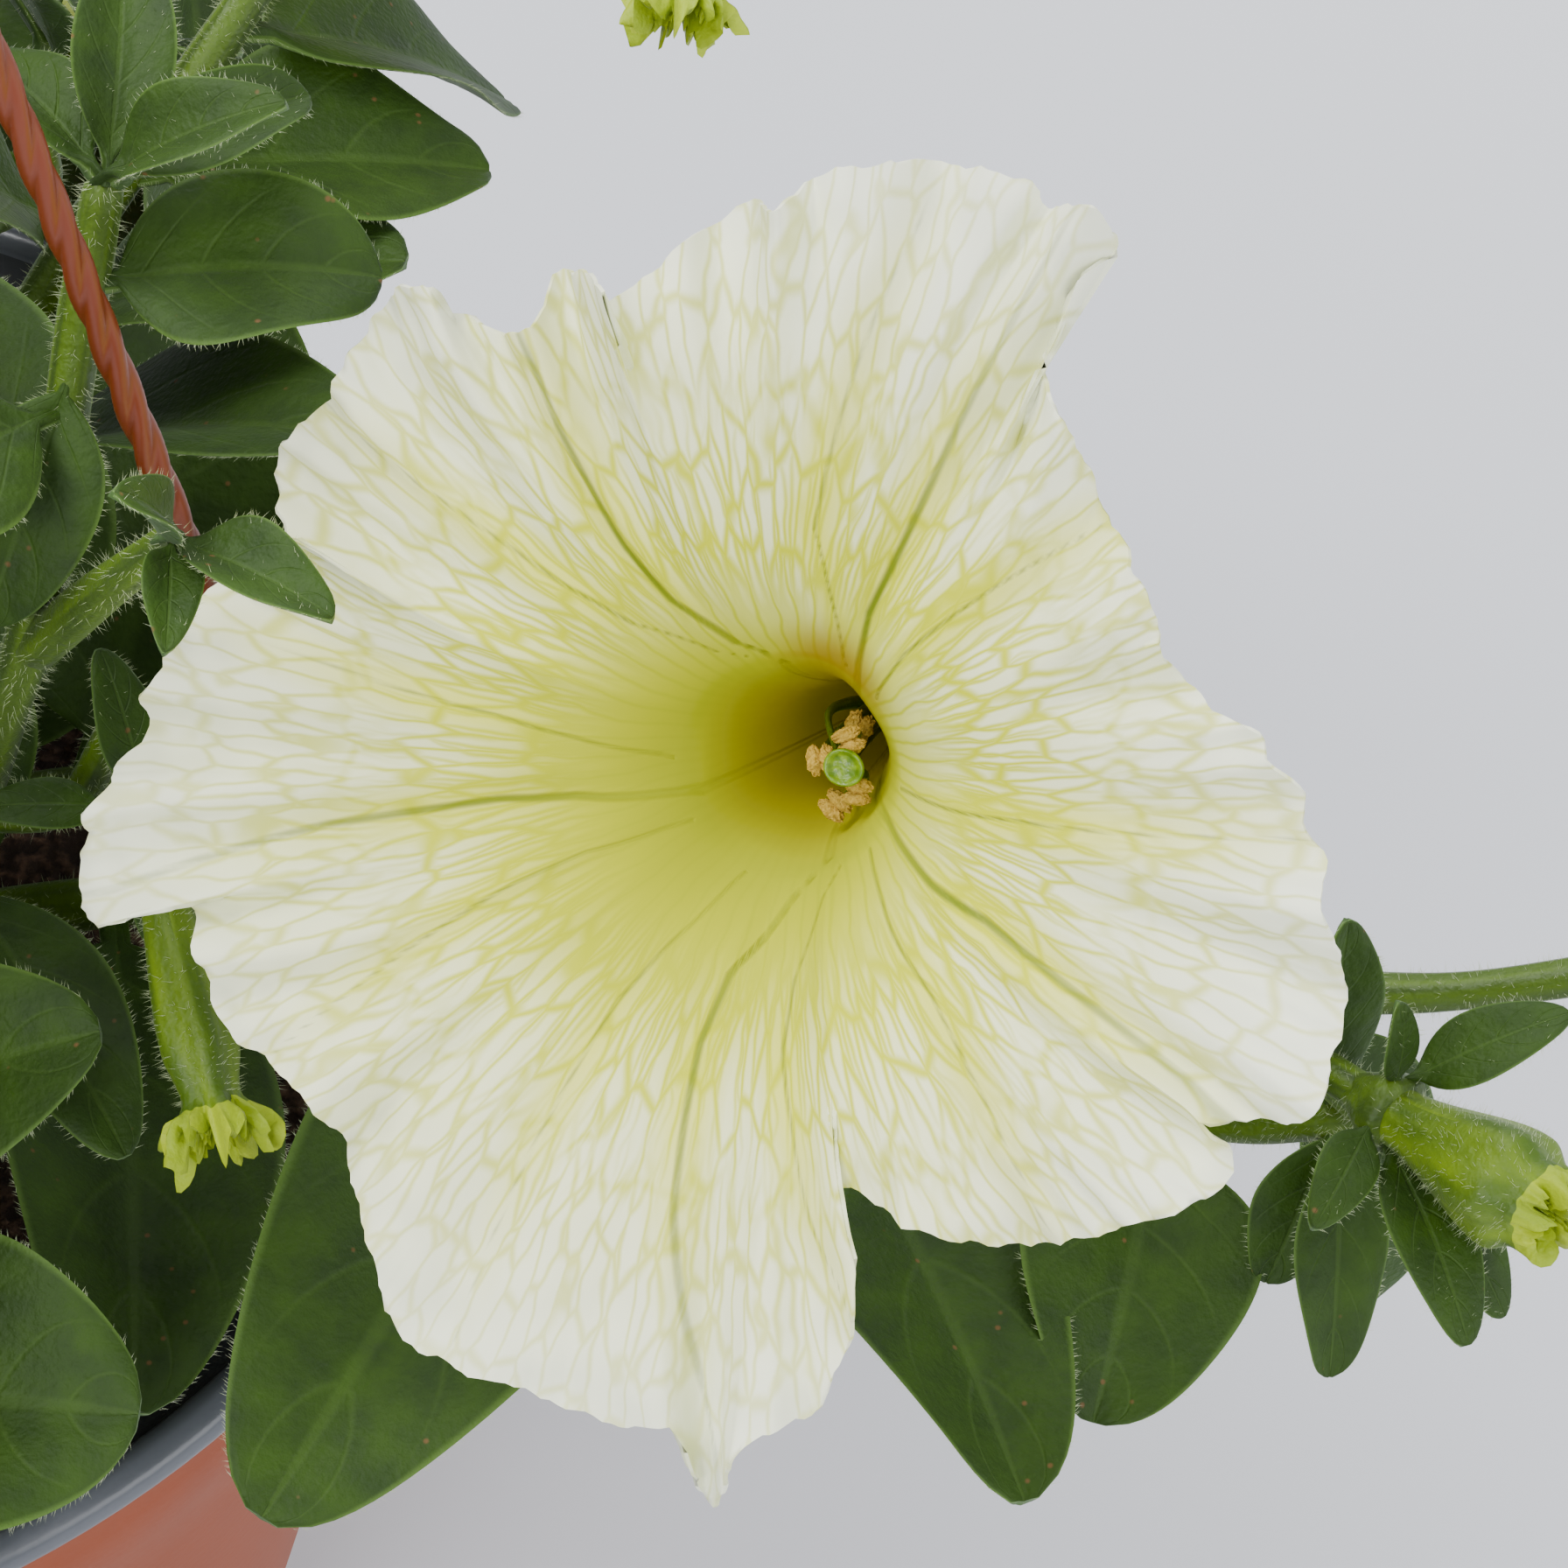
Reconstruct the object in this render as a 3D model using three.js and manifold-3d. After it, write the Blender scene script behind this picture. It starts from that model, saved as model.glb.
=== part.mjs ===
// Petunia in a hanging pot: two-tone plastic pot, soil, three-strand clip-on hanger, leafy shoots and blooms.
// Millimetres, +Z up. The origin is the centre of the pot's flat underside.

import * as THREE from 'three';
import { mergeVertices } from 'three/addons/utils/BufferGeometryUtils.js';
import Module from 'manifold-3d';

const wasm = await Module();
wasm.setup();

// Pot and soil
const RIM_RADIUS = 65;
const POT_HEIGHT = 112;
const POT_WALL = 1.2;
const POT_FLOOR = 2;
const TAPER = THREE.MathUtils.degToRad(12.5);
const BEAD_RADIUS = 1.6;
const BEAD_CENTRE = RIM_RADIUS - BEAD_RADIUS;
const WALL_TOP = POT_HEIGHT - BEAD_RADIUS;
const COLLAR_RADIUS = 56.5;
const COLLAR_HEIGHT = 107.4;
const DRAIN_RADIUS = 3;
const DRAIN_CIRCLE = 25;
const DRAIN_COUNT = 5;
const SOIL_TOP = 104;
const GAP = 0.3;
const HOLE_DEPTH = 12;

// Hanger
const STRAND_BEARINGS = [-25.5, 94.5, 214.5];
const STRAND_RADIUS = 1.35;
const STRAND_FOOT = 67.2;
const STRAND_FOOT_HEIGHT = 113.5;
const HUB_RADIUS = 8;
const HUB_CIRCLE = 4.8;
const HUB_HEIGHT = 388;
const HUB_THICKNESS = 3.2;
const STRAND_STEPS = 18;
const HOOK_WIRE = 2.1;
const HOOK_BEND = 11;
const CLIP_WIDTH = 6;
const CLIP_THICKNESS = 1.7;
const CLIP_PLAY = 0.2;

// Blooms
const THROAT_RADIUS = 6.4;
const TUBE_LENGTH = 31;
const TUBE_BASE_RADIUS = 2.4;
const PETAL_THICKNESS = 0.8;
const FUNNEL_HEIGHT = 10.4;
const FUNNEL_TURN = 2.3;
const RUFFLE_POWER = 2.6;
const FRONT_SIDES = 12;
const SIDES = 6;

// Stigma, then anthers: bearing in degrees, distance from the axis, depth below the throat.
// The last value of an anther is the bearing that its filament rises at.
const STIGMA = [358, 3.3, 2.6];
const ANTHERS = [
  [22, 3.6, 3.6, 50], [6, 1.7, 3.2, 115], [335, 4.2, 3.8, 300], [28, 3.1, 8, 10], [305, 3.6, 5.2, 225],
];

// Outline of the limb from the left tip round: bearing in degrees, reach and height above the throat in mm
const LIMB_OUTLINE = [
  [190, 42, 9], [195, 36, 11], [205, 35.5, 8.5], [216, 33, 11], [223, 34, 8], [232, 36.5, 11],
  [241, 39.8, 9], [250, 39, 11], [259, 39.4, 9], [267, 44, 8], [272, 38.5, 12], [279, 36.5, 9.5],
  [285, 24.5, 10], [295, 27.5, 11.5], [305, 31.6, 9], [319, 35, 12], [326, 36.3, 9], [335, 38.6, 12],
  [345, 37.8, 9], [352, 36.4, 11.5], [0, 34.6, 10], [9, 32.2, 12], [18, 27.8, 9], [28, 28.6, 12],
  [38, 28.4, 9], [50, 31.2, 11.5], [57, 41, 12.5], [64, 40.8, 11], [73, 39, 9], [82, 36.8, 11],
  [91, 34.4, 8], [100, 30.8, 13], [108, 32, 9], [114, 29.8, 12], [121, 34.4, 12], [128, 35.2, 9],
  [137, 33.8, 11], [147, 33.8, 9], [152, 29.9, 12], [161, 34.4, 9], [170, 36.3, 11], [180, 38.4, 9.5],
];

// Foliage
const LIGHT_LEAN = 0.35;
const LEAF_STATIONS = [0.12, 0.42, 0.76];
const SMALL_STATIONS = [0.2, 0.6];
const LEAF_THICKNESS = 1.4;
const LEAF_REACH = 1.7;
const LEAF_GROWTH = 1.2;
const BLOOM_REACH = 3.2;
const STEM_REACH = 0.8;

const up = new THREE.Vector3(0, 0, 1);
const vec = (x, y, z) => new THREE.Vector3(x, y, z);
const mix = (...terms) => terms.reduce((sum, [v, k]) => sum.addScaledVector(v, k), vec(0, 0, 0));
const rad = THREE.MathUtils.degToRad;
const polar = (bearing, radius, z) => (
  vec(radius * Math.cos(rad(bearing)), radius * Math.sin(rad(bearing)), z)
);

// Seeded random numbers between 0 and 1
function seeded(seed) {
  let state = seed >>> 0;
  return () => {
    state = (state + 0x6d2b79f5) >>> 0;
    let t = state;
    t = Math.imul(t ^ (t >>> 15), t | 1);
    t ^= t + Math.imul(t ^ (t >>> 7), t | 61);
    return ((t ^ (t >>> 14)) >>> 0) / 4294967296;
  };
}

// Closed skin through rings of points. Neighbours have equal counts, one twice the other, or one point.
// turned(i, j) picks the other diagonal of a quad, so that both faces of a thin blade are split alike.
function skin(rings, turned = () => false) {
  const points = [];
  const starts = rings.map((ring) => points.push(...ring) - ring.length);
  const faces = [];
  for (let i = 0; i + 1 < rings.length; i++) {
    const a = rings[i].length;
    const b = rings[i + 1].length;
    const low = (j) => starts[i] + (j % a);
    const high = (j) => starts[i + 1] + (j % b);
    const around = a === 1 || b === 1 ? Math.max(a, b) : Math.min(a, b);
    for (let j = 0; j < around; j++) {
      if (a === 1) faces.push(low(0), high(j), high(j + 1));
      else if (b === 1) faces.push(low(j), high(0), low(j + 1));
      else if (a === b && turned(i, j)) {
        faces.push(low(j), high(j), low(j + 1), low(j + 1), high(j), high(j + 1));
      }
      else if (a === b) faces.push(low(j), high(j), high(j + 1), low(j), high(j + 1), low(j + 1));
      else if (b > a) faces.push(low(j), high(2 * j), high(2 * j + 1), low(j), high(2 * j + 1), low(j + 1),
        low(j + 1), high(2 * j + 1), high(2 * j + 2));
      else faces.push(high(j), low(2 * j + 1), low(2 * j), high(j), high(j + 1), low(2 * j + 1),
        high(j + 1), low(2 * j + 2), low(2 * j + 1));
    }
  }
  return { points, faces };
}

// Volume inside a skin, negative where its faces point inwards
function volume({ points, faces }) {
  let sum = 0;
  for (let k = 0; k < faces.length; k += 3) {
    const [a, b, c] = [points[faces[k]], points[faces[k + 1]], points[faces[k + 2]]];
    sum += a.dot(b.clone().cross(c)) / 6;
  }
  return sum;
}

function solidFromSkin(closed) {
  const faces = closed.faces.slice();
  if (volume(closed) < 0) {
    for (let k = 0; k < faces.length; k += 3) [faces[k], faces[k + 1]] = [faces[k + 1], faces[k]];
  }
  const vertProperties = new Float32Array(closed.points.flatMap((p) => [p.x, p.y, p.z]));
  return new wasm.Manifold(new wasm.Mesh({ numProp: 3, vertProperties, triVerts: new Uint32Array(faces) }));
}

function solidFromGeometry(source) {
  const bare = source.clone();
  bare.deleteAttribute('normal');
  bare.deleteAttribute('uv');
  const merged = mergeVertices(bare, 1e-4);
  const vertProperties = new Float32Array(merged.attributes.position.array);
  const triVerts = new Uint32Array(merged.index.array);
  return new wasm.Manifold(new wasm.Mesh({ numProp: 3, vertProperties, triVerts }));
}

function geometryOf(solid) {
  const mesh = solid.getMesh();
  const geometry = new THREE.BufferGeometry();
  geometry.setAttribute('position', new THREE.BufferAttribute(new Float32Array(mesh.vertProperties), 3));
  geometry.setIndex(new THREE.BufferAttribute(new Uint32Array(mesh.triVerts), 1));
  geometry.computeVertexNormals();
  return geometry;
}

// Joined solid, with any sealed hollow between its parts filled
function join(solids) {
  const bodies = solids.reduce((all, solid) => all.add(solid)).decompose();
  return bodies.reduce((most, body) => (body.volume() > most.volume() ? body : most));
}

const material = (color, roughness) => new THREE.MeshStandardMaterial({ color, roughness, metalness: 0 });
const FINISH = {
  pot: material('#a0604e', 0.45),
  soil: material('#3a2a20', 0.95),
  hanger: material('#a4472a', 0.4),
  foliage: material('#3a5a28', 0.7),
  petal: material('#e6e8d8', 0.6),
  stamens: material('#a9b347', 0.6),
};

const plant = new THREE.Group();
function addPiece(name, solid, finish) {
  const mesh = new THREE.Mesh(geometryOf(solid), finish);
  mesh.name = name;
  plant.add(mesh);
}

const wallRadius = (z) => BEAD_CENTRE - 0.3 - (WALL_TOP - z) * Math.tan(TAPER);

// Pot: one turned shell with a rolled bead, a sloping collar inside it and drain holes in the floor
function makePot() {
  const bead = [-150, -90, -30, 30, 90, 150].map((turn) => new THREE.Vector2(
    BEAD_CENTRE + BEAD_RADIUS * Math.cos(rad(turn)), WALL_TOP + BEAD_RADIUS * Math.sin(rad(turn))));
  const profile = [
    new THREE.Vector2(0, 0),
    new THREE.Vector2(wallRadius(0) - 1, 0),
    new THREE.Vector2(wallRadius(1), 1),
    new THREE.Vector2(wallRadius(WALL_TOP - 3), WALL_TOP - 3),
    ...bead,
    new THREE.Vector2(COLLAR_RADIUS, COLLAR_HEIGHT),
    new THREE.Vector2(COLLAR_RADIUS, COLLAR_HEIGHT - POT_WALL),
    new THREE.Vector2(wallRadius(COLLAR_HEIGHT - 2) - POT_WALL, COLLAR_HEIGHT - 2),
    new THREE.Vector2(wallRadius(POT_FLOOR) - POT_WALL, POT_FLOOR),
    new THREE.Vector2(0, POT_FLOOR),
  ];
  let pot = solidFromGeometry(new THREE.LatheGeometry(profile, 26).rotateX(Math.PI / 2));
  for (let k = 0; k < DRAIN_COUNT; k++) {
    const drain = new THREE.CylinderGeometry(DRAIN_RADIUS, DRAIN_RADIUS, 3 * POT_FLOOR, 7);
    const place = polar((k * 360) / DRAIN_COUNT, DRAIN_CIRCLE, POT_FLOOR / 2);
    pot = pot.subtract(solidFromGeometry(drain.rotateX(Math.PI / 2).translate(place.x, place.y, place.z)));
  }
  return pot;
}

// Soil: fills the pot to below the rim, with a lumpy top and a plain hole for each stem
function makeSoil(holes) {
  const lump = (x, y) => 0.9 * Math.sin(0.21 * x + 1) * Math.cos(0.17 * y) + 0.5 * Math.sin(0.4 * (x - y));
  const rings = [[vec(0, 0, POT_FLOOR + GAP)]];
  const sides = 20;
  const around = (radius, z, lumpy) => Array.from({ length: sides }, (unused, k) => {
    const place = polar((k * 360) / sides, radius, z);
    place.z += lumpy ? lump(place.x, place.y) : 0;
    return place;
  });
  rings.push(around(wallRadius(POT_FLOOR) - POT_WALL - 0.8, POT_FLOOR + GAP, false));
  rings.push(around(wallRadius(SOIL_TOP) - POT_WALL - 0.9, SOIL_TOP, false));
  rings.push(around(46, SOIL_TOP, true), around(30, SOIL_TOP + 0.5, true));
  rings.push([vec(0, 0, SOIL_TOP + 1)]);
  let soil = solidFromSkin(skin(rings));
  for (const hole of holes) {
    const depth = HOLE_DEPTH + 8;
    const bore = new THREE.CylinderGeometry(hole.radius + 0.4, hole.radius + 0.4, depth, 5);
    bore.rotateX(Math.PI / 2).translate(hole.x, hole.y, hole.z - GAP + depth / 2);
    soil = soil.subtract(solidFromGeometry(bore));
  }
  return soil;
}

// Ring of points round a centre, square to the direction given
function ringAt(centre, direction, reference, radius, sides, turn = 0) {
  const side = reference.clone().addScaledVector(direction, -reference.dot(direction)).normalize();
  const top = direction.clone().cross(side);
  const size = typeof radius === 'function' ? radius : () => radius;
  return Array.from({ length: sides }, (unused, k) => {
    const angle = turn + (k * 2 * Math.PI) / sides;
    return mix([centre, 1], [side, size(k) * Math.cos(angle)], [top, size(k) * Math.sin(angle)]);
  });
}

// Tapered stem along a smooth curve through points, closed at both ends
function makeStem(points, radii, sides, steps, reference) {
  const curve = new THREE.CatmullRomCurve3(points, false, 'catmullrom', 0.5);
  const rings = [[curve.getPoint(0)]];
  for (let i = 0; i <= steps; i++) {
    const t = i / steps;
    const radius = radii[0] + (radii[1] - radii[0]) * t;
    rings.push(ringAt(curve.getPoint(t), curve.getTangent(t), reference, radius, sides));
  }
  rings.push([curve.getPoint(1)]);
  return solidFromSkin(skin(rings));
}

// Strand: a three-ridged twisted rod with a knob above the hub and a shank and clip at the pot's bead
function makeStrand(bearing) {
  const foot = polar(bearing, STRAND_FOOT, STRAND_FOOT_HEIGHT);
  const top = polar(bearing, HUB_CIRCLE, HUB_HEIGHT + HUB_THICKNESS + 2.4);
  const along = top.clone().sub(foot).normalize();
  const across = polar(bearing + 90, 1, 0);
  const rings = [[foot.clone().addScaledVector(along, -1)]];
  for (let i = 0; i <= STRAND_STEPS; i++) {
    const centre = foot.clone().lerp(top, i / STRAND_STEPS);
    rings.push(ringAt(centre, along, across, STRAND_RADIUS, 3, (-i * Math.PI) / 3));
  }
  rings.push([top]);
  const knob = new THREE.SphereGeometry(2.7, 6, 4).rotateX(Math.PI / 2).translate(top.x, top.y, top.z + 0.7);
  const inner = BEAD_RADIUS + GAP + CLIP_PLAY;
  const outer = inner + CLIP_THICKNESS;
  const claw = new THREE.Shape();
  claw.absarc(0, 0, outer, rad(-100), rad(150), false);
  claw.absarc(0, 0, inner, rad(150), rad(-100), true);
  claw.closePath();
  const clip = new THREE.ExtrudeGeometry(claw, { depth: CLIP_WIDTH, bevelEnabled: false, curveSegments: 5 });
  clip.translate(0, 0, -CLIP_WIDTH / 2).rotateX(Math.PI / 2);
  clip.translate(BEAD_CENTRE - CLIP_PLAY, 0, WALL_TOP).rotateZ(rad(bearing));
  const wall = polar(bearing, BEAD_CENTRE + 0.8 * outer, WALL_TOP + 0.5 * outer);
  const shank = makeStem([wall, foot, foot.clone().addScaledVector(along, 3)], [0.9, 1.9], 6, 3, across);
  return join([solidFromSkin(skin(rings)), solidFromGeometry(knob), solidFromGeometry(clip), shank]);
}

// Hook: a hub plate with three holes for the strands, a neck and an open hook
function makeHook() {
  const plate = new THREE.CylinderGeometry(HUB_RADIUS, HUB_RADIUS, HUB_THICKNESS, 18).rotateX(Math.PI / 2);
  let hub = solidFromGeometry(plate.translate(0, 0, HUB_HEIGHT + HUB_THICKNESS / 2));
  for (const bearing of STRAND_BEARINGS) {
    const hole = new THREE.CylinderGeometry(STRAND_RADIUS + 0.8, STRAND_RADIUS + 0.8, 4 * HUB_THICKNESS, 7);
    const place = polar(bearing, HUB_CIRCLE + 0.85, HUB_HEIGHT + HUB_THICKNESS / 2);
    hub = hub.subtract(solidFromGeometry(hole.rotateX(Math.PI / 2).translate(place.x, place.y, place.z)));
  }
  const neck = HUB_HEIGHT + HUB_THICKNESS;
  const centre = neck + 26;
  const path = [vec(0, 0, HUB_HEIGHT + 0.5), vec(0, 0, neck + 5), vec(0, 0, neck + 10)];
  for (let turn = -90; turn <= 150; turn += 40) {
    path.push(vec(HOOK_BEND * Math.cos(rad(turn)), 0, centre + HOOK_BEND * Math.sin(rad(turn))));
  }
  return hub.add(makeStem(path, [HOOK_WIRE, HOOK_WIRE * 0.85], 6, 15, vec(0, 1, 0)));
}

// Leaf: an arched blade with a V fold, waved edges and a narrow stalk.
// s runs from base 0 to tip 1, v across from -1 to 1.
const leafHalfWidth = (leaf, s) => {
  const along = Math.max(0, (s - 0.12) / 0.88);
  const blade = Math.sin(Math.PI * along ** 0.8) ** (0.95 - 0.45 * along);
  const stalk = s < 0.5 ? 0.1 : 0;
  return (leaf.width / 2) * Math.max(stalk, blade);
};

function leafFrame(leaf, s) {
  const turn = leaf.bend * s;
  const reach = Math.abs(leaf.bend) < 1e-3 ? s : Math.sin(turn) / leaf.bend;
  const sink = Math.abs(leaf.bend) < 1e-3 ? 0 : (1 - Math.cos(turn)) / leaf.bend;
  return {
    centre: mix([leaf.base, 1], [leaf.along, leaf.length * reach], [leaf.normal, -leaf.length * sink]),
    normal: mix([leaf.along, Math.sin(turn)], [leaf.normal, Math.cos(turn)]),
    across: leaf.along.clone().cross(leaf.normal),
  };
}

function leafPoint(leaf, s, v, lift = 0) {
  const { centre, normal, across } = leafFrame(leaf, s);
  const half = leafHalfWidth(leaf, s);
  const wave = leaf.wave * leaf.width * Math.sin(9 * s + leaf.phase + (v > 0 ? 1.3 : 0)) * v * v;
  const rise = half * Math.abs(v) * Math.sin(leaf.fold) + wave * Math.min(1, 4 * half / leaf.width) + lift;
  return mix([centre, 1], [across, half * v * Math.cos(leaf.fold)], [normal, rise]);
}

function makeLeaf(leaf, stations) {
  const rings = [[leaf.base]];
  const thickness = Math.min(LEAF_THICKNESS, 0.8 + leaf.width * 0.05);
  for (const s of stations) {
    rings.push([leafPoint(leaf, s, -1), leafPoint(leaf, s, 0, thickness / 2), leafPoint(leaf, s, 1),
      leafPoint(leaf, s, 0, -thickness / 2)]);
  }
  rings.push([leafPoint(leaf, 1, 0)]);
  return solidFromSkin(skin(rings, (i, j) => j > 1));
}

// Places already taken, each a point with its reach, its owner and its kind, kept by the cell that it lies in
const CELL = 10;
const cells = new Map();
const cellKey = (x, y, z) => `${x},${y},${z}`;
function take(point, reach, owner, kind) {
  const key = cellKey(Math.floor(point.x / CELL), Math.floor(point.y / CELL), Math.floor(point.z / CELL));
  if (!cells.has(key)) cells.set(key, []);
  cells.get(key).push({ point, reach, owner, kind });
}

function nearby(point) {
  const found = [];
  const [cx, cy, cz] = [point.x, point.y, point.z].map((value) => Math.floor(value / CELL));
  for (let x = cx - 1; x <= cx + 1; x++) {
    for (let y = cy - 1; y <= cy + 1; y++) {
      for (let z = cz - 1; z <= cz + 1; z++) found.push(...(cells.get(cellKey(x, y, z)) ?? []));
    }
  }
  return found;
}

function leafSamples(leaf) {
  const samples = [];
  const rows = leaf.length > 20 ? 10 : 6;
  const columns = leaf.width > 10 ? 3 : 1;
  for (let i = 0; i < rows; i++) {
    const s = 0.2 + (0.8 * i) / (rows - 1);
    for (let j = -columns; j <= columns; j++) samples.push({ s, point: leafPoint(leaf, s, j / columns) });
  }
  return samples;
}

const clearOfPot = (point) => {
  const radius = Math.hypot(point.x, point.y);
  if (point.z < SOIL_TOP + 4 && radius < RIM_RADIUS) return false;
  if (point.z < POT_HEIGHT + 2.5 && Math.abs(radius - BEAD_CENTRE) < 5) return false;
  return point.z > 12;
};

function leafIsClear(leaf, owner, young = false) {
  return leafSamples(leaf).every(({ s, point }) => clearOfPot(point) && nearby(point).every((entry) => {
    if (entry.owner === owner && (entry.kind === 'stem' ? s < 0.4 : young && s < 0.7)) return true;
    return point.distanceTo(entry.point) > entry.reach + LEAF_REACH;
  }));
}

function takeLeaf(leaf, owner) {
  for (const { point } of leafSamples(leaf)) take(point, LEAF_REACH, owner, 'leaf');
}

function takeStem(points, radii, owner) {
  const curve = new THREE.CatmullRomCurve3(points, false, 'catmullrom', 0.5);
  let span = 0;
  for (let i = 1; i < points.length; i++) span += points[i].distanceTo(points[i - 1]);
  const steps = Math.ceil(span / 2.5);
  for (let i = 0; i <= steps; i++) {
    const radius = radii[0] + ((radii[1] - radii[0]) * i) / steps;
    take(curve.getPoint(i / steps), radius + STEM_REACH, owner, 'stem');
  }
}

// Bloom: its own frame, with the axis out of the mouth and the first side to its right
function bloomFrame(bloom) {
  const axis = bloom.axis.clone().normalize();
  const right = vec(1, 0, 0).addScaledVector(axis, -axis.x).normalize();
  return { axis, right, left: axis.clone().cross(right) };
}

// Limb point: u runs round the outline in steps of its points, w from the throat 0 to the margin 1
function limbPoint(bloom, frame, u, w) {
  const count = LIMB_OUTLINE.length;
  const from = Math.floor(u) % count;
  const [a, b] = [LIMB_OUTLINE[from], LIMB_OUTLINE[(from + 1) % count]];
  const part = u - Math.floor(u);
  const step = ((b[0] - a[0] + 540) % 360) - 180;
  const bearing = rad((a[0] + step * part) * (bloom.mirrored ? -1 : 1) + bloom.turn);
  const margin = (a[1] + (b[1] - a[1]) * part) * bloom.size;
  const swell = (a[2] + (b[2] - a[2]) * part - FUNNEL_HEIGHT) * (bloom.mirrored ? -1.3 : 1);
  const throat = THROAT_RADIUS * bloom.size;
  const reach = throat + (margin - throat) * w;
  const funnel = FUNNEL_HEIGHT * (1 - Math.max(0, 1 - w) ** FUNNEL_TURN);
  const height = (funnel + swell * w ** RUFFLE_POWER) * bloom.size;
  return mix([bloom.throat, 1], [frame.right, reach * Math.cos(bearing)],
    [frame.left, reach * Math.sin(bearing)], [frame.axis, height]);
}

function tubeRing(bloom, frame, depth, radius, count) {
  const turn = rad(LIMB_OUTLINE[0][0] * (bloom.mirrored ? -1 : 1) + bloom.turn);
  const way = bloom.mirrored ? -1 : 1;
  return Array.from({ length: count }, (unused, k) => {
    const angle = turn + (way * k * 2 * Math.PI) / count;
    return mix([bloom.throat, 1], [frame.right, radius * Math.cos(angle)],
      [frame.left, radius * Math.sin(angle)], [frame.axis, -depth]);
  });
}

// Corolla: floor and inner wall of the tube, upper face of the limb, margin, underside and outer wall
function makeCorolla(bloom) {
  const frame = bloomFrame(bloom);
  const quarter = bloom.name === 'bloom_1' ? FRONT_SIDES : SIDES;
  const count = quarter * 4;
  const total = LIMB_OUTLINE.length;
  const throat = THROAT_RADIUS * bloom.size;
  const way = bloom.mirrored ? -1 : 1;
  const limb = (w, thickness) => Array.from({ length: count }, (unused, k) => {
    const u = (k * total) / count;
    const point = limbPoint(bloom, frame, u, w);
    if (thickness === 0) return point;
    const outward = limbPoint(bloom, frame, u, w + 0.02).sub(point);
    const ahead = limbPoint(bloom, frame, (u + 0.2) % total, w);
    const onward = ahead.sub(limbPoint(bloom, frame, (u + total - 0.2) % total, w));
    return point.addScaledVector(outward.cross(onward).normalize(), -thickness * way);
  });
  const levels = [0.3, 0.62, 1];
  const rings = [
    [mix([bloom.throat, 1], [frame.axis, 3 - TUBE_LENGTH])],
    tubeRing(bloom, frame, TUBE_LENGTH - 3, TUBE_BASE_RADIUS - 0.8, quarter),
    tubeRing(bloom, frame, 14, throat * 0.62 - 0.8, quarter),
    tubeRing(bloom, frame, 0, throat, quarter * 2),
    ...levels.map((w) => limb(w, 0)),
    ...levels.slice().reverse().map((w) => limb(w, PETAL_THICKNESS)),
    tubeRing(bloom, frame, 0.6, throat + 0.9, quarter * 2),
    tubeRing(bloom, frame, 14, throat * 0.62, quarter),
    tubeRing(bloom, frame, TUBE_LENGTH, TUBE_BASE_RADIUS, quarter),
    [mix([bloom.throat, 1], [frame.axis, -TUBE_LENGTH])],
  ];
  return solidFromSkin(skin(rings, (i) => i > 6));
}

// Pistil and stamens: a style with its stigma, and five filaments with anthers, grown together at the foot
function makeStamens(bloom) {
  const frame = bloomFrame(bloom);
  const at = (bearing, radius, depth) => mix([bloom.throat, 1],
    [frame.right, bloom.size * radius * Math.cos(rad(bearing))],
    [frame.left, bloom.size * radius * Math.sin(rad(bearing))], [frame.axis, -depth]);
  const round = (centre, radius, sides) => ringAt(centre, frame.axis, frame.right, radius, sides);
  const floor = at(0, 0, TUBE_LENGTH - 3.4);
  const [turn, lean, depth] = STIGMA;
  const stigma = at(turn, lean, depth);
  const style = [[floor], round(at(0, 0, TUBE_LENGTH - 4), 1.1, 5), round(at(0, 0, 14), 0.6, 5),
    round(at(turn, lean, depth + 1.4), 0.6, 5), round(stigma, 1.3, 5), [mix([stigma, 1], [frame.axis, 0.2])]];
  const solids = [skin(style)];
  for (const [bearing, reach, sink, start] of ANTHERS) {
    const anther = at(bearing, reach, sink);
    solids.push(skin([[floor], round(at(start, 1.6, 14), 0.45, 3),
      round(mix([anther, 1], [frame.axis, -1]), 0.4, 3), round(anther, 1, 3),
      [mix([anther, 1], [frame.axis, 1])]]));
  }
  return join(solids.map(solidFromSkin));
}

function takeBloom(bloom) {
  const frame = bloomFrame(bloom);
  const total = LIMB_OUTLINE.length;
  for (let k = 0; k < total; k++) {
    for (const w of [0.2, 0.4, 0.6, 0.8, 1]) {
      take(limbPoint(bloom, frame, k, w), BLOOM_REACH, bloom.name, 'bloom');
    }
  }
  for (let depth = 0; depth <= TUBE_LENGTH; depth += 3) {
    const radius = TUBE_BASE_RADIUS + (THROAT_RADIUS - TUBE_BASE_RADIUS) * (1 - depth / TUBE_LENGTH);
    take(mix([bloom.throat, 1], [frame.axis, -depth]), radius + 1, bloom.name, 'bloom');
  }
}

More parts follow.
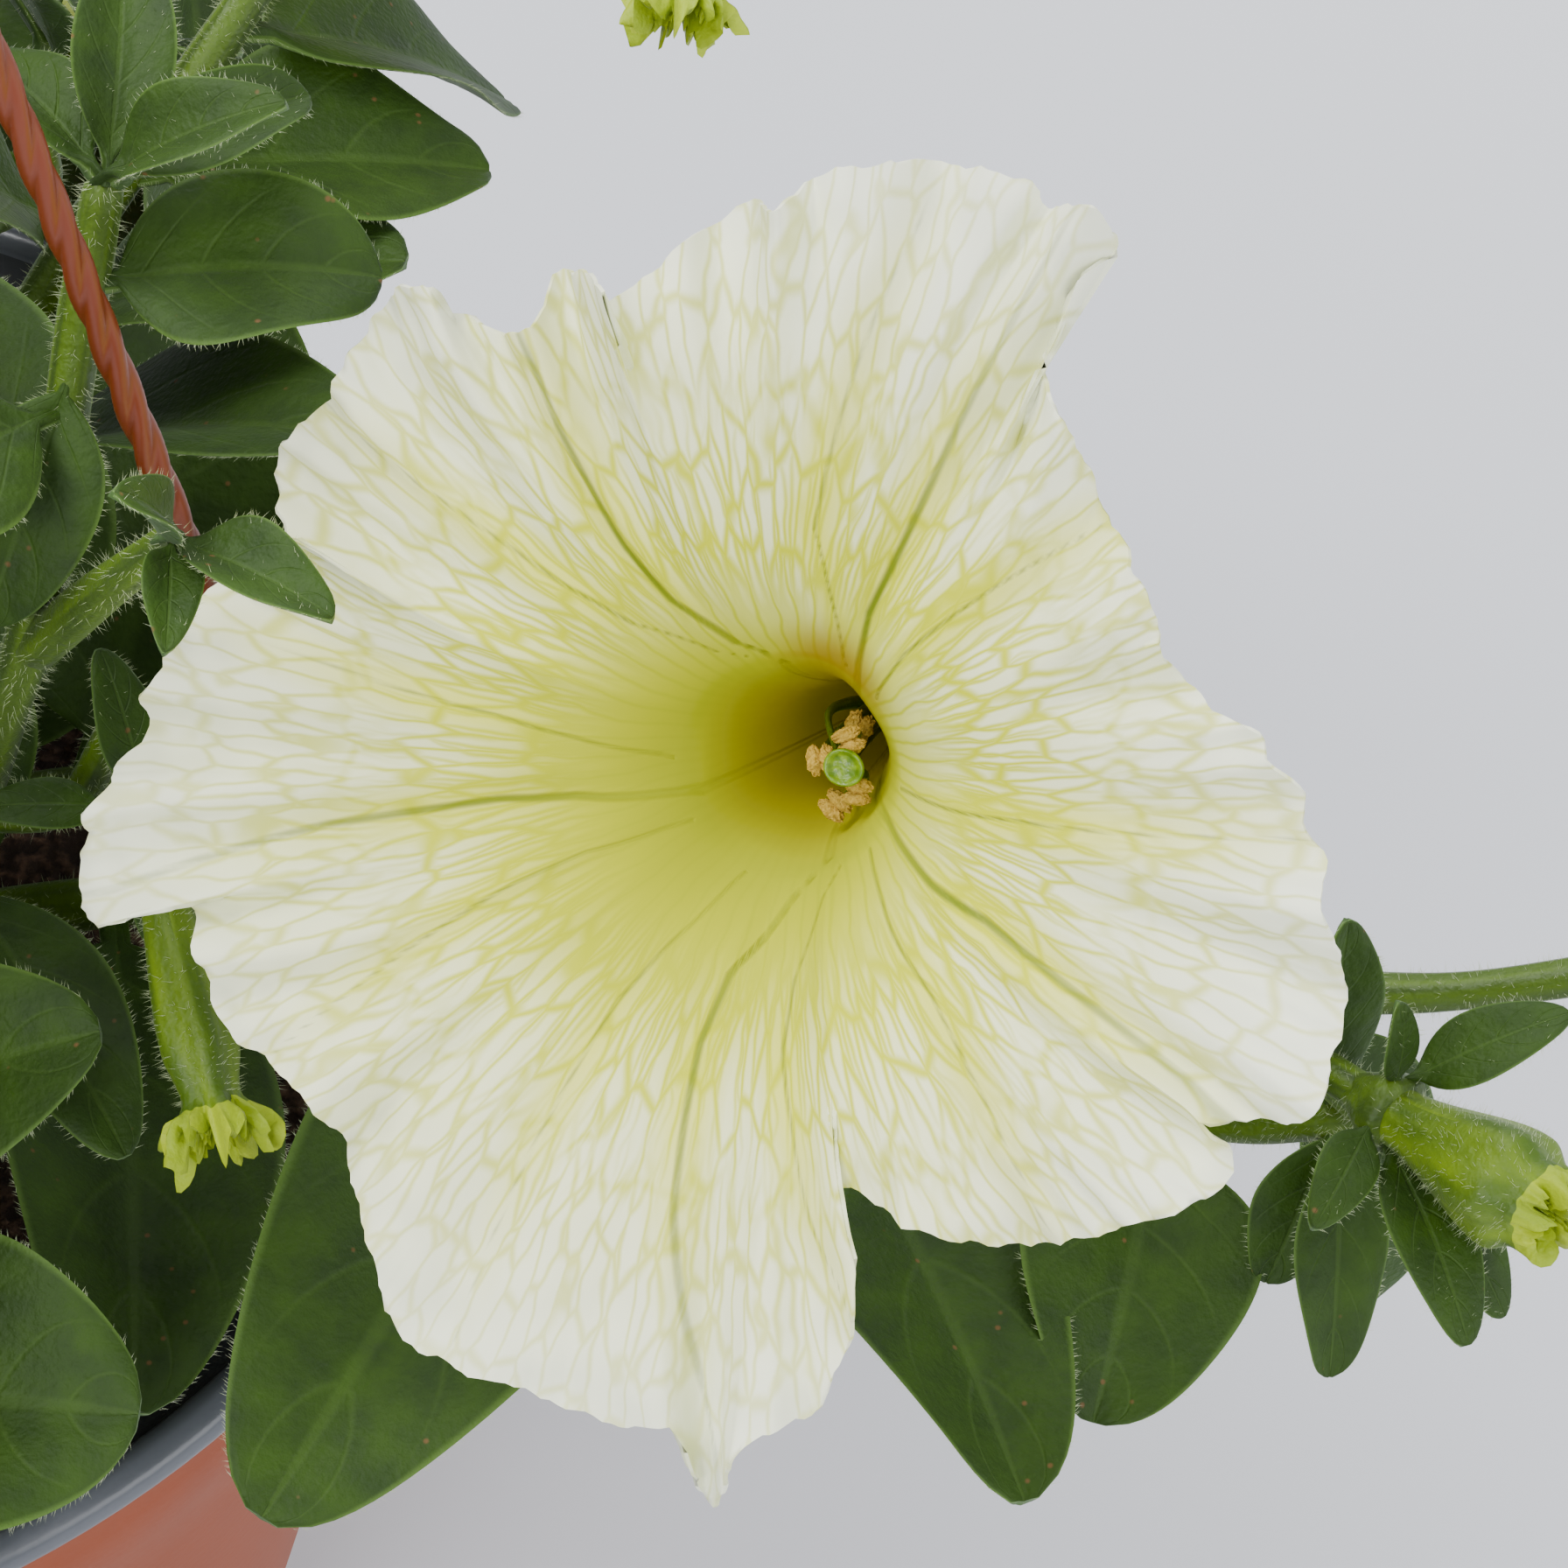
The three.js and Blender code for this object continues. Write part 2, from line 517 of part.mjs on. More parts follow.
// Stalk of a bloom or bud with its cup and five strap sepals
function stalkParts(stalk) {
  const axis = stalk.axis.clone().normalize();
  const foot = mix([stalk.end, 1], [axis, -7]);
  const points = [stalk.from, ...stalk.via, foot, stalk.end.clone()];
  const reference = Math.abs(axis.z) > 0.8 ? vec(1, 0, 0) : up;
  const side = reference.clone().addScaledVector(axis, -reference.dot(axis)).normalize();
  const top = axis.clone().cross(side);
  const neck = ringAt(mix([stalk.end, 1], [axis, -3.5]), axis, side, 1.9, 6);
  const cup = [[mix([stalk.end, 1], [axis, -5])], neck, ringAt(stalk.end, axis, side, 2.7, 6), [stalk.end]];
  if (stalk.tips) {
    const placed = stalk.tips.map((tip) => placedSepal(stalk.end, axis, tip));
    return { points, cup: skin(cup), sepals: placed };
  }
  const sepals = [];
  for (let k = 0; k < 5; k++) {
    const bearing = rad(k * 72 + stalk.turn);
    const outward = mix([side, Math.cos(bearing)], [top, Math.sin(bearing)]);
    const lean = rad(stalk.spread);
    sepals.push({
      base: mix([stalk.end, 1], [axis, -1.6], [outward, 1.6]),
      along: mix([axis, Math.cos(lean)], [outward, Math.sin(lean)]),
      normal: mix([axis, Math.sin(lean)], [outward, -Math.cos(lean)]),
      length: stalk.sepal, width: stalk.sepal * 0.36, bend: 0.5, fold: 0.25, wave: 0, phase: 0,
    });
  }
  return { points, cup: skin(cup), sepals };
}

// Sepal that reaches from the calyx to a given tip
function placedSepal(end, axis, tip) {
  const reach = tip.clone().sub(end);
  const outward = reach.addScaledVector(axis, -reach.dot(axis)).normalize();
  const base = mix([end, 1], [axis, -1.6], [outward, 1.6]);
  const sepal = leafToTip(base, tip, 0.42 * tip.distanceTo(base), 0.5, () => 0);
  return { ...sepal, fold: 0.25, wave: 0 };
}

// Bud: a ribbed, furled corolla that opens into a crumpled crown
function budSkin(bud) {
  const axis = bud.axis.clone().normalize();
  const reference = Math.abs(axis.z) > 0.8 ? vec(1, 0, 0) : up;
  const ribbed = (depth, radius, ribs) => ringAt(mix([bud.end, 1], [axis, depth * bud.length]), axis,
    reference, (k) => radius * bud.girth * (k % 2 ? 1 - ribs : 1), 10);
  return skin([[mix([bud.end, 1], [axis, -0.6])], ribbed(0, 0.5, 0), ribbed(0.35, 0.95, 0.1),
    ribbed(0.7, 1, 0.16), ribbed(0.86, 0.8, 0.2), ribbed(1, bud.crown ?? 1.25, 0.45),
    [mix([bud.end, 1], [axis, bud.length * 0.9])]]);
}

// Blooms: throat centre, axis out of the mouth, turn about the axis, size; the first is the one in full view
const BLOOMS = [
  { name: 'bloom_1', throat: vec(83.3, -34.1, 168.9), axis: vec(-0.28, -0.693, 0.665),
    turn: 0, size: 0.99 },
  { name: 'bloom_2', throat: polar(58, 86, 158), axis: vec(0.4, 0.63, 0.66),
    turn: 70, size: 0.94 },
  { name: 'bloom_3', throat: polar(128, 86, 152), axis: vec(-0.5, 0.62, 0.6),
    turn: 150, size: 0.96, mirrored: true },
  { name: 'bloom_4', throat: polar(172, 92, 162), axis: vec(-0.66, 0.06, 0.75),
    turn: 215, size: 0.98 },
  { name: 'bloom_5', throat: polar(243, 86, 150), axis: vec(-0.4, -0.74, 0.54),
    turn: 20, size: 0.95, mirrored: true },
  { name: 'bloom_6', throat: vec(-8, 5, 208), axis: vec(-0.16, 0.12, 0.98),
    turn: 290, size: 0.84 },
];

// Shoots that arch over the rim by a rule: bearings at root and tip, then reach and height along the way
function arch(from, to, stations) {
  return stations.map(([reach, z], k) => polar(from + ((to - from) * k) / (stations.length - 1), reach, z));
}

const SHOOTS = [
  {
    path: [vec(16, -4, 92), vec(24, -6, 112), vec(48, -11, 123), vec(72, -15, 121), vec(94, -22, 121),
      vec(110.5, -31.5, 127), vec(121, -36, 134)],
    placed: [
      { t: 0.63, tip: vec(98.6, -59.6, 125.6), width: 20, bend: 0.5 },
      { t: 0.83, tip: vec(103.3, -51, 121), width: 17, bend: 0.5 },
      { t: 0.97, tip: vec(114.7, -41.9, 123.6), width: 7, bend: 0.3 },
      { t: 0.97, tip: vec(118.6, -47.5, 121), width: 7, bend: 0.3 },
      { t: 0.96, tip: vec(119, -29, 146), width: 7, bend: -0.2 },
      { t: 0.42, tip: vec(64, 18, 134), width: 18, bend: 0.5 },
      { t: 0.57, tip: vec(51, -62, 128), width: 24, bend: 0.5 },
      { t: 0.37, tip: vec(42.5, -54, 127), width: 21, bend: 0.4 },
    ],
    bloom: 0, from: 0.55, via: [vec(88, -12, 130)],
    buds: [{
      t: 1, end: vec(122.6, -39.5, 139), axis: vec(0.66, -0.7, 0.25),
      length: 13, girth: 3.9, crown: 0.75,
      tips: [vec(121.9, -35.7, 146.7), vec(132.7, -35.8, 145.4), vec(116.3, -48.2, 140.1),
        vec(126, -53.1, 134.1), vec(128.9, -48.5, 130)],
    }],
    rule: { count: 3, from: 0.12, to: 0.38, length: 30 }, tip: 0,
  },
  {
    path: [vec(18, -12, 92), vec(22, -16, 114), vec(29, -21.5, 138), vec(35, -25, 160), vec(39, -25, 173),
      vec(42, -16.5, 187), vec(44.5, -13, 198)],
    placed: [
      { t: 0.85, tip: vec(36.1, -27, 173.9), width: 9, bend: 0.5 },
      { t: 0.45, tip: vec(42.5, -43, 140), width: 10, bend: 0.5 },
      { t: 0.9, tip: vec(60, -14, 190), width: 13, bend: 0.7 },
      { t: 0.82, tip: vec(25, -32, 186), width: 13, bend: 0.6 },
    ],
    branch: { t: 0.67, path: [vec(44, -28, 179), vec(48.5, -29.6, 185.4)], tip: 6, length: 11 },
    buds: [{
      t: 0.5, via: [vec(38.5, -23, 150)], end: vec(44.2, -27.8, 154), axis: vec(0.237, -0.88, -0.41),
      length: 20, girth: 2.4, crown: 1.7,
      tips: [vec(41.7, -22.2, 165.2), vec(34, -28.4, 157), vec(49.3, -28, 148.6),
        vec(46.6, -30, 144.7), vec(43.9, -28.9, 143)],
    }],
    rule: { count: 4, from: 0.1, to: 0.95, length: 26 }, tip: 6,
  },
  {
    path: [polar(20, 14, 92), polar(22, 17, 112), polar(25, 28, 136), polar(28, 40, 153), polar(31, 52, 163),
      polar(34, 62, 169)],
    placed: [
      { t: 0.62, tip: vec(59, 14, 159), width: 20, bend: 0.4 },
      { t: 0.74, tip: vec(63.9, 25.3, 155.2), width: 18, bend: 0.4 },
      { t: 0.88, tip: vec(63.9, 42.7, 143), width: 15, bend: 0.4 },
      { t: 0.5, tip: vec(58, -2, 160), width: 18, bend: 0.6 },
    ],
    buds: [{
      t: 0.97, via: [vec(64, 40, 176), vec(73, 43, 183.5)], end: vec(78.5, 36, 182.4),
      axis: vec(-0.1, -0.88, -0.47),
      length: 17, girth: 3.4, sepal: 9, spread: 60,
    }],
    rule: { count: 6, from: 0.15, to: 0.9, length: 34 }, tip: 3,
  },
  {
    path: [vec(19, 4, 92), vec(26, 4, 112), vec(48, 3, 117), vec(68, 1, 117), vec(92, -4, 112),
      vec(112, -10, 112), vec(127, -15, 117), vec(143, -16, 122)],
    rule: { count: 8, from: 0.2, to: 0.88, length: 32 }, tip: 5,
  },
  {
    path: arch(64, 70,
      [[12, 92], [15, 112], [27, 132], [45, 144], [66, 146], [86, 134], [100, 112], [106, 88]]),
    bloom: 1, from: 0.42, via: [polar(56, 52, 132)],
    rule: { count: 8, from: 0.14, to: 0.93, length: 38 }, tip: 3,
  },
  {
    path: arch(82, 76, [[20, 92], [24, 112], [42, 123], [64, 126], [84, 118], [96, 98], [100, 72]]),
    rule: { count: 8, from: 0.2, to: 0.92, length: 36 }, tip: 3,
    buds: [{
      t: 0.62, via: [polar(86, 90, 128)], end: polar(90, 98, 136), axis: vec(-0.1, 0.7, 0.6),
      length: 20, girth: 3.2, sepal: 9, spread: 55,
    }],
  },
  {
    path: arch(113, 111, [[13, 92], [16, 112], [26, 134], [42, 150], [60, 154], [78, 146], [92, 128]]),
    bloom: 2, from: 0.5, via: [polar(120, 54, 136)],
    rule: { count: 8, from: 0.16, to: 0.93, length: 37 }, tip: 3,
  },
  {
    path: arch(146, 150, [[21, 92], [25, 112], [44, 122], [66, 125], [86, 115], [98, 92], [101, 64]]),
    rule: { count: 8, from: 0.2, to: 0.92, length: 38 }, tip: 3,
  },
  {
    path: arch(186, 190, [[12, 92], [15, 112], [24, 136], [40, 154], [60, 160], [80, 152], [96, 134]]),
    bloom: 3, from: 0.5, via: [polar(178, 54, 138)],
    rule: { count: 8, from: 0.16, to: 0.93, length: 36 }, tip: 3,
  },
  {
    path: arch(204, 201, [[21, 92], [25, 112], [43, 120], [65, 121], [84, 110], [95, 88]]),
    rule: { count: 7, from: 0.22, to: 0.9, length: 34 }, tip: 3,
  },
  {
    path: arch(229, 227, [[12, 92], [15, 112], [25, 132], [42, 146], [60, 150], [80, 141], [95, 122]]),
    bloom: 4, from: 0.5, via: [polar(236, 54, 132)],
    rule: { count: 8, from: 0.16, to: 0.93, length: 37 }, tip: 3,
  },
  {
    path: arch(262, 266, [[20, 92], [24, 112], [42, 121], [65, 124], [86, 115], [99, 94], [104, 70]]),
    rule: { count: 8, from: 0.2, to: 0.92, length: 36 }, tip: 3,
  },
  {
    path: arch(292, 292, [[14, 92], [17, 112], [30, 127], [48, 132], [66, 130], [84, 118]]),
    placed: [{ t: 0.77, tip: vec(44, -58.5, 135), width: 21, bend: 0.3 }],
    rule: { count: 7, from: 0.16, to: 0.92, length: 34 }, tip: 3,
    buds: [{
      t: 0.8, via: [polar(288, 76, 134)], end: polar(284, 82, 142), axis: vec(0, -0.7, 0.65),
      length: 18, girth: 3.2, sepal: 9, spread: 60,
    }],
  },
  {
    path: [vec(2, 2, 92), vec(2, 2, 112), vec(0, 0, 136), vec(-2.5, 1, 158), vec(-3, 1.6, 170)],
    bloom: 5, from: 1, via: [], rule: { count: 8, from: 0.3, to: 0.9, length: 32 }, tip: 0,
  },
  {
    path: [polar(140, 10, 92), polar(142, 13, 114), polar(146, 22, 140), polar(150, 32, 162),
      polar(152, 41, 180), polar(152, 46, 194)],
    rule: { count: 7, from: 0.2, to: 0.92, length: 34 }, tip: 4,
  },
  {
    path: [polar(320, 7, 92), polar(318, 10, 114), polar(300, 20, 140), polar(285, 28, 164),
      polar(280, 33, 184), polar(278, 36, 196)],
    rule: { count: 7, from: 0.2, to: 0.92, length: 32 }, tip: 4,
  },
];

const STEM_RADII = [2.1, 1.3];
const STALK_RADII = [1.1, 1.3];
const PLACE_TURNS = [0, 24, -24, 48, -48, 72, -72, 100, -100, 130, -130, 160];
const PLACE_SIZES = [1, 0.84, 0.7, 0.56];
const GOLDEN_TURN = 137.5;

// Leaf between a stem point and a tip, its face turned to the light
function leafToTip(base, tip, width, bend, random) {
  const chord = tip.clone().sub(base);
  const half = bend / 2;
  const length = (chord.length() * Math.abs(half)) / Math.sin(Math.abs(half));
  const lit = mix([up, 1], [vec(base.x, base.y, 0).normalize(), LIGHT_LEAN]);
  const straight = chord.normalize();
  const lift = lit.addScaledVector(straight, -lit.dot(straight)).normalize();
  const along = mix([straight, Math.cos(half)], [lift, Math.sin(half)]);
  const normal = mix([straight, -Math.sin(half)], [lift, Math.cos(half)]);
  return { base, along, normal, length, width, bend, fold: 0.3, wave: 0.05, phase: 6 * random() };
}

// Leaf that leaves the stem at a bearing round it, spreading and arching over
function leafOnStem(base, tangent, bearing, spread, length, shape) {
  const side = vec(-base.y, base.x, 0).normalize();
  side.addScaledVector(tangent, -side.dot(tangent)).normalize();
  const top = tangent.clone().cross(side);
  const outward = mix([side, Math.cos(rad(bearing))], [top, Math.sin(rad(bearing))]);
  const along = mix([outward, Math.sin(rad(spread))], [tangent, Math.cos(rad(spread))]).normalize();
  const lit = mix([up, 1], [vec(base.x, base.y, 0).normalize(), LIGHT_LEAN]);
  const normal = lit.addScaledVector(along, -lit.dot(along)).normalize();
  return { base, along, normal, length, width: length * shape.slim, wave: 0.05, ...shape };
}

// Every solid of a shoot, worked out first and joined later
const growing = SHOOTS.map((shoot, index) => {
  const name = `leafy_shoot_${String(index + 1).padStart(2, '0')}`;
  const [foot, ...rest] = shoot.path;
  shoot.path = [foot, vec(foot.x, foot.y, foot.z + HOLE_DEPTH + 2), ...rest];
  const curve = new THREE.CatmullRomCurve3(shoot.path, false, 'catmullrom', 0.5);
  const random = seeded(1000 + index);
  const reference = vec(-shoot.path[1].y, shoot.path[1].x, 0).normalize();
  return { name, shoot, curve, random, reference, stems: [], leaves: [], small: [], skins: [] };
});

for (const bloom of BLOOMS) takeBloom(bloom);
for (const bearing of STRAND_BEARINGS) {
  for (let z = 104; z < 240; z += 2.5) {
    const part = (z - STRAND_FOOT_HEIGHT) / (HUB_HEIGHT - STRAND_FOOT_HEIGHT);
    const place = polar(bearing, STRAND_FOOT + (HUB_CIRCLE - STRAND_FOOT) * part, z);
    take(place, z < 116 ? 6 : 2.6, 'hanger', 'strand');
  }
}

// Stems, stalks, sepals and buds come first, then the placed leaves
for (const grown of growing) {
  const { shoot, curve, name } = grown;
  const steps = Math.round(1.15 * shoot.path.length);
  grown.stems.push({ points: shoot.path, radii: STEM_RADII, sides: 5, steps });
  takeStem(shoot.path, STEM_RADII, name);
  const stalks = (shoot.buds ?? []).map((bud) => ({
    from: curve.getPoint(bud.t), via: [], turn: 20, ...bud, bud,
  }));
  if (shoot.bloom !== undefined) {
    const bloom = BLOOMS[shoot.bloom];
    const axis = bloom.axis.clone().normalize();
    const end = mix([bloom.throat, 1], [axis, -TUBE_LENGTH - GAP]);
    const from = curve.getPoint(shoot.from);
    stalks.push({ from, via: shoot.via, end, axis, turn: 0, sepal: 12, spread: 48 });
  }
  for (const stalk of stalks) {
    const parts = stalkParts(stalk);
    grown.stems.push({ points: parts.points, radii: STALK_RADII, sides: 4, steps: parts.points.length });
    takeStem(parts.points, STALK_RADII, name);
    grown.skins.push(parts.cup);
    grown.small.push(...parts.sepals);
    parts.sepals.forEach((sepal) => takeLeaf(sepal, name));
    if (stalk.bud) {
      const { bud } = stalk;
      const axis = bud.axis.clone().normalize();
      grown.skins.push(budSkin(bud));
      for (let k = 0; k <= 6; k++) {
        take(mix([bud.end, 1], [axis, (bud.length * k) / 6]), bud.girth + 1, name, 'stem');
      }
    }
  }
  if (shoot.branch) {
    const from = curve.getPoint(shoot.branch.t);
    grown.branch = new THREE.CatmullRomCurve3([from, ...shoot.branch.path], false, 'catmullrom', 0.5);
    grown.stems.push({ points: [from, ...shoot.branch.path], radii: [1.5, 1.2], sides: 5, steps: 4 });
    takeStem([from, ...shoot.branch.path], [1.5, 1.2], name);
  }
}

for (const grown of growing) {
  for (const placed of grown.shoot.placed ?? []) {
    const base = grown.curve.getPoint(placed.t);
    const leaf = leafToTip(base, placed.tip, placed.width, placed.bend, grown.random);
    grown.leaves.push(leaf);
    takeLeaf(leaf, grown.name);
  }
}

// Young leaves crowd round each shoot's tip
for (const grown of growing) {
  const tips = [{ curve: grown.curve, count: grown.shoot.tip, length: 15 }];
  if (grown.branch) {
    tips.push({ curve: grown.branch, count: grown.shoot.branch.tip, length: grown.shoot.branch.length });
  }
  for (const tip of tips) {
    const end = tip.curve.getPoint(1);
    const tangent = tip.curve.getTangent(1);
    const base = mix([end, 1], [tangent, -0.8]);
    for (let k = 0; k < tip.count; k++) {
      const shape = { slim: 0.5, bend: 0.1 + 0.9 * grown.random(), fold: 0.6, phase: 6 * grown.random() };
      const length = tip.length * (0.8 + 0.35 * grown.random());
      const bearing = k * (360 / tip.count) + 20 * grown.random();
      const leaf = leafOnStem(base, tangent, bearing, k % 2 ? 62 : 34, length, shape);
      if (leafIsClear(leaf, grown.name, true)) {
        grown.small.push(leaf);
        takeLeaf(leaf, grown.name);
      }
    }
  }
}

// Grown leaves take the first place that is clear of everything else
const mostLeaves = Math.max(...SHOOTS.map((shoot) => shoot.rule.count));
for (let k = 0; k < mostLeaves; k++) {
  for (const grown of growing) {
    const { rule } = grown.shoot;
    if (k >= rule.count) continue;
    const t = rule.from + ((rule.to - rule.from) * (k + 0.3 * grown.random())) / rule.count;
    const base = grown.curve.getPoint(t);
    const tangent = grown.curve.getTangent(t);
    const slim = 0.53 + 0.08 * grown.random();
    const bend = 0.5 + 0.5 * grown.random();
    const shape = { slim, bend, fold: 0.2 + 0.2 * grown.random(), phase: 6 * grown.random() };
    const full = LEAF_GROWTH * rule.length * (1.12 - 0.32 * t) * (0.9 + 0.2 * grown.random());
    const spread = 55 + 15 * grown.random();
    const choices = PLACE_SIZES.flatMap((size) => PLACE_TURNS.map((turn) => ({ size, turn })));
    for (const { size, turn } of choices) {
      const leaf = leafOnStem(base, tangent, k * GOLDEN_TURN + turn, spread, full * size, shape);
      if (leafIsClear(leaf, grown.name)) {
        grown.leaves.push(leaf);
        takeLeaf(leaf, grown.name);
        break;
      }
    }
  }
}

const holes = SHOOTS.map(({ path: [foot] }) => ({ x: foot.x, y: foot.y, z: foot.z, radius: STEM_RADII[0] + 1 }));
addPiece('pot', makePot(), FINISH.pot);
addPiece('soil', makeSoil(holes), FINISH.soil);
STRAND_BEARINGS.forEach((bearing, k) => {
  addPiece(`hanger_strand_${k + 1}`, makeStrand(bearing), FINISH.hanger);
});
addPiece('hanger_hook', makeHook(), FINISH.hanger);
for (const grown of growing) {
  const solids = grown.skins.map(solidFromSkin);
  for (const { points, radii, sides, steps } of grown.stems) {
    solids.push(makeStem(points, radii, sides, steps, grown.reference));
  }
  solids.push(...grown.leaves.map((leaf) => makeLeaf(leaf, LEAF_STATIONS)));
  solids.push(...grown.small.map((leaf) => makeLeaf(leaf, SMALL_STATIONS)));
  addPiece(grown.name, join(solids), FINISH.foliage);
}
for (const bloom of BLOOMS) {
  addPiece(bloom.name, makeCorolla(bloom), FINISH.petal);
  addPiece(`${bloom.name}_stamens`, makeStamens(bloom), FINISH.stamens);
}

export default plant;
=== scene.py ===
"""Petunia in a hanging pot: a two-tone plastic pot, a clip-on hanger, leafy shoots, buds and blooms.

The plan of the plant repeats the named values of the part's source in millimetres, and every mesh is in metres
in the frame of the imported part: +Z up, the origin at the centre of the pot's flat underside. The camera looks
along +Y and down on the bloom in full view, as the photograph does.
"""

import logging
from dataclasses import dataclass, field, replace
from enum import Enum
from functools import partial
from math import cos, pi, radians, sin, tan
from typing import Callable, Iterator, Optional, Union

import bpy
import numpy as np
from bpy.types import Material, Node, NodeSocket, NodeTree, Object
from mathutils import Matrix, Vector
from numpy import ndarray as Array


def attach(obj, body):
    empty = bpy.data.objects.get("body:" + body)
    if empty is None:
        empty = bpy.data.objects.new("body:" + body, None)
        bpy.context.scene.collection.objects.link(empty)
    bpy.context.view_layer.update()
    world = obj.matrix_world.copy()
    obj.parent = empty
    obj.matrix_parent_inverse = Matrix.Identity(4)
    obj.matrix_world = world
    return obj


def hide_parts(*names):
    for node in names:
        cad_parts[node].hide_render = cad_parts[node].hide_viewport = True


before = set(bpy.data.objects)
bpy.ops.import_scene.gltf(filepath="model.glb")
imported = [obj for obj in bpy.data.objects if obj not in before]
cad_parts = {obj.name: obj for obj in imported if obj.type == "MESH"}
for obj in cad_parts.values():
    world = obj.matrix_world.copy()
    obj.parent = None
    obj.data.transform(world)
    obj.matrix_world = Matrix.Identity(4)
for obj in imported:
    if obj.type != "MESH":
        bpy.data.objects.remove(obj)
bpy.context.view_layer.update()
log = logging.getLogger("petunia")

MM = 0.001
UP = np.array([0.0, 0.0, 1.0])
GAP = 0.3


# Vectors and curves


def vec(x: float, y: float, z: float) -> Array:
    """Returns a point or direction in millimetres."""
    return np.array([x, y, z], dtype=float)


def unit(v: Array) -> Array:
    """Returns vectors of length 1 along the last axis of v."""
    return v / np.linalg.norm(v, axis=-1, keepdims=True)


def polar(bearing: float, radius: float, z: float) -> Array:
    """Returns the point at a bearing in degrees and a radius from the pot's axis."""
    turn = radians(bearing)
    return vec(radius * cos(turn), radius * sin(turn), z)


def even_angles(count: int) -> Array:
    """Returns angles at even steps round a full turn, from 0."""
    return np.linspace(0, 2 * pi, count, endpoint=False)


def square_to(v: Array, direction: Array) -> Array:
    """Returns v without its part along direction, at length 1."""
    return unit(v - np.sum(v * direction, axis=-1, keepdims=True) * direction)


def ease(x: Array, low: float, high: float) -> Array:
    """Returns 0 below low, 1 above high, and 3t^2 - 2t^3 between."""
    t = np.clip((x - low) / (high - low), 0.0, 1.0)
    return t * t * (3.0 - 2.0 * t)


@dataclass
class SmoothCurve:
    """Curve through points: uniform Catmull-Rom, with each end continued in a straight line."""

    points: list[Array]

    def at(self, t: Array) -> Array:
        """Gives the points at t from 0 to 1.

        Each span is the cubic with the two ends' values, and slopes of half the chord between their neighbours.

        Args:
            t: one value or an array, from 0 at the first point to 1 at the last.

        Returns:
            A point for each t.
        """
        p = np.asarray(self.points, dtype=float)
        p = np.vstack([2 * p[0] - p[1], p, 2 * p[-1] - p[-2]])
        place = np.asarray(t, dtype=float) * (len(self.points) - 1)
        span = np.minimum(np.floor(place).astype(int), len(self.points) - 2)
        w = (place - span)[..., None]
        before, start, end, after = (p[span + k] for k in range(4))
        slope_a, slope_b = 0.5 * (end - before), 0.5 * (after - start)
        square = -3 * start + 3 * end - 2 * slope_a - slope_b
        cube = 2 * start - 2 * end + slope_a + slope_b
        return start + slope_a * w + square * w**2 + cube * w**3

    def tangents(self, t: Array) -> Array:
        """Returns the directions at t, from a step of a ten-thousandth to each side."""
        return unit(self.at(np.minimum(t + 1e-4, 1.0)) - self.at(np.maximum(t - 1e-4, 0.0)))

    def length(self) -> float:
        """Returns the length of the straight lines between the points."""
        return float(np.linalg.norm(np.diff(np.asarray(self.points), axis=0), axis=1).sum())


def seeded(seed: int) -> Iterator[float]:
    """Yields the same numbers between 0 and 1 as the part's source does from one seed.

    Args:
        seed: any whole number.

    Yields:
        Mixed 32-bit states of a counter, divided by 2^32.
    """
    mask = 0xFFFFFFFF
    state = seed & mask
    while True:
        state = (state + 0x6D2B79F5) & mask
        t = ((state ^ (state >> 15)) * (state | 1)) & mask
        t ^= (t + (((t ^ (t >> 7)) * (t | 61)) & mask)) & mask
        yield (t ^ (t >> 14)) / 4294967296


# Plan of the pot and the hanger, in millimetres


@dataclass(frozen=True)
class PotSizes:
    """Sizes of the pot: a thin tapered wall, a rolled bead at the rim and a sloping collar inside it."""

    rim_radius: float = 65.0
    height: float = 112.0
    wall: float = 1.2
    floor: float = 2.0
    taper: float = radians(12.5)
    bead: float = 1.6
    collar_radius: float = 56.5
    collar_height: float = 107.4
    drain_radius: float = 3.0
    drain_circle: float = 25.0
    drain_count: int = 5
    soil_top: float = 104.0
    hole_depth: float = 12.0

    @property
    def bead_centre(self) -> float:
        """Radius of the bead's centre line."""
        return self.rim_radius - self.bead

    @property
    def wall_top(self) -> float:
        """Height of the bead's centre line."""
        return self.height - self.bead

    def wall_radius(self, z: float) -> float:
        """Radius of the outer face at a height."""
        return self.bead_centre - 0.3 - (self.wall_top - z) * tan(self.taper)


@dataclass(frozen=True)
class HangerSizes:
    """Sizes of the hanger: three twisted strands from rim clips to a hub plate, and a hook."""

    bearings: tuple[float, ...] = (-25.5, 94.5, 214.5)
    foot: float = 67.2
    foot_height: float = 113.5
    hub_radius: float = 8.0
    hub_circle: float = 4.8
    hub_height: float = 388.0
    hub_thickness: float = 3.2
    hook_wire: float = 2.1
    hook_bend: float = 11.0
    clip_width: float = 6.0
    clip_thickness: float = 1.7
    clip_play: float = 0.2


POT = PotSizes()
HANGER = HangerSizes()


# Plan of the blooms

THROAT_RADIUS = 6.4
TUBE_LENGTH = 31.0
TUBE_BASE_RADIUS = 2.4
FUNNEL_HEIGHT = 10.4
FUNNEL_TURN = 2.3
RUFFLE_POWER = 2.6

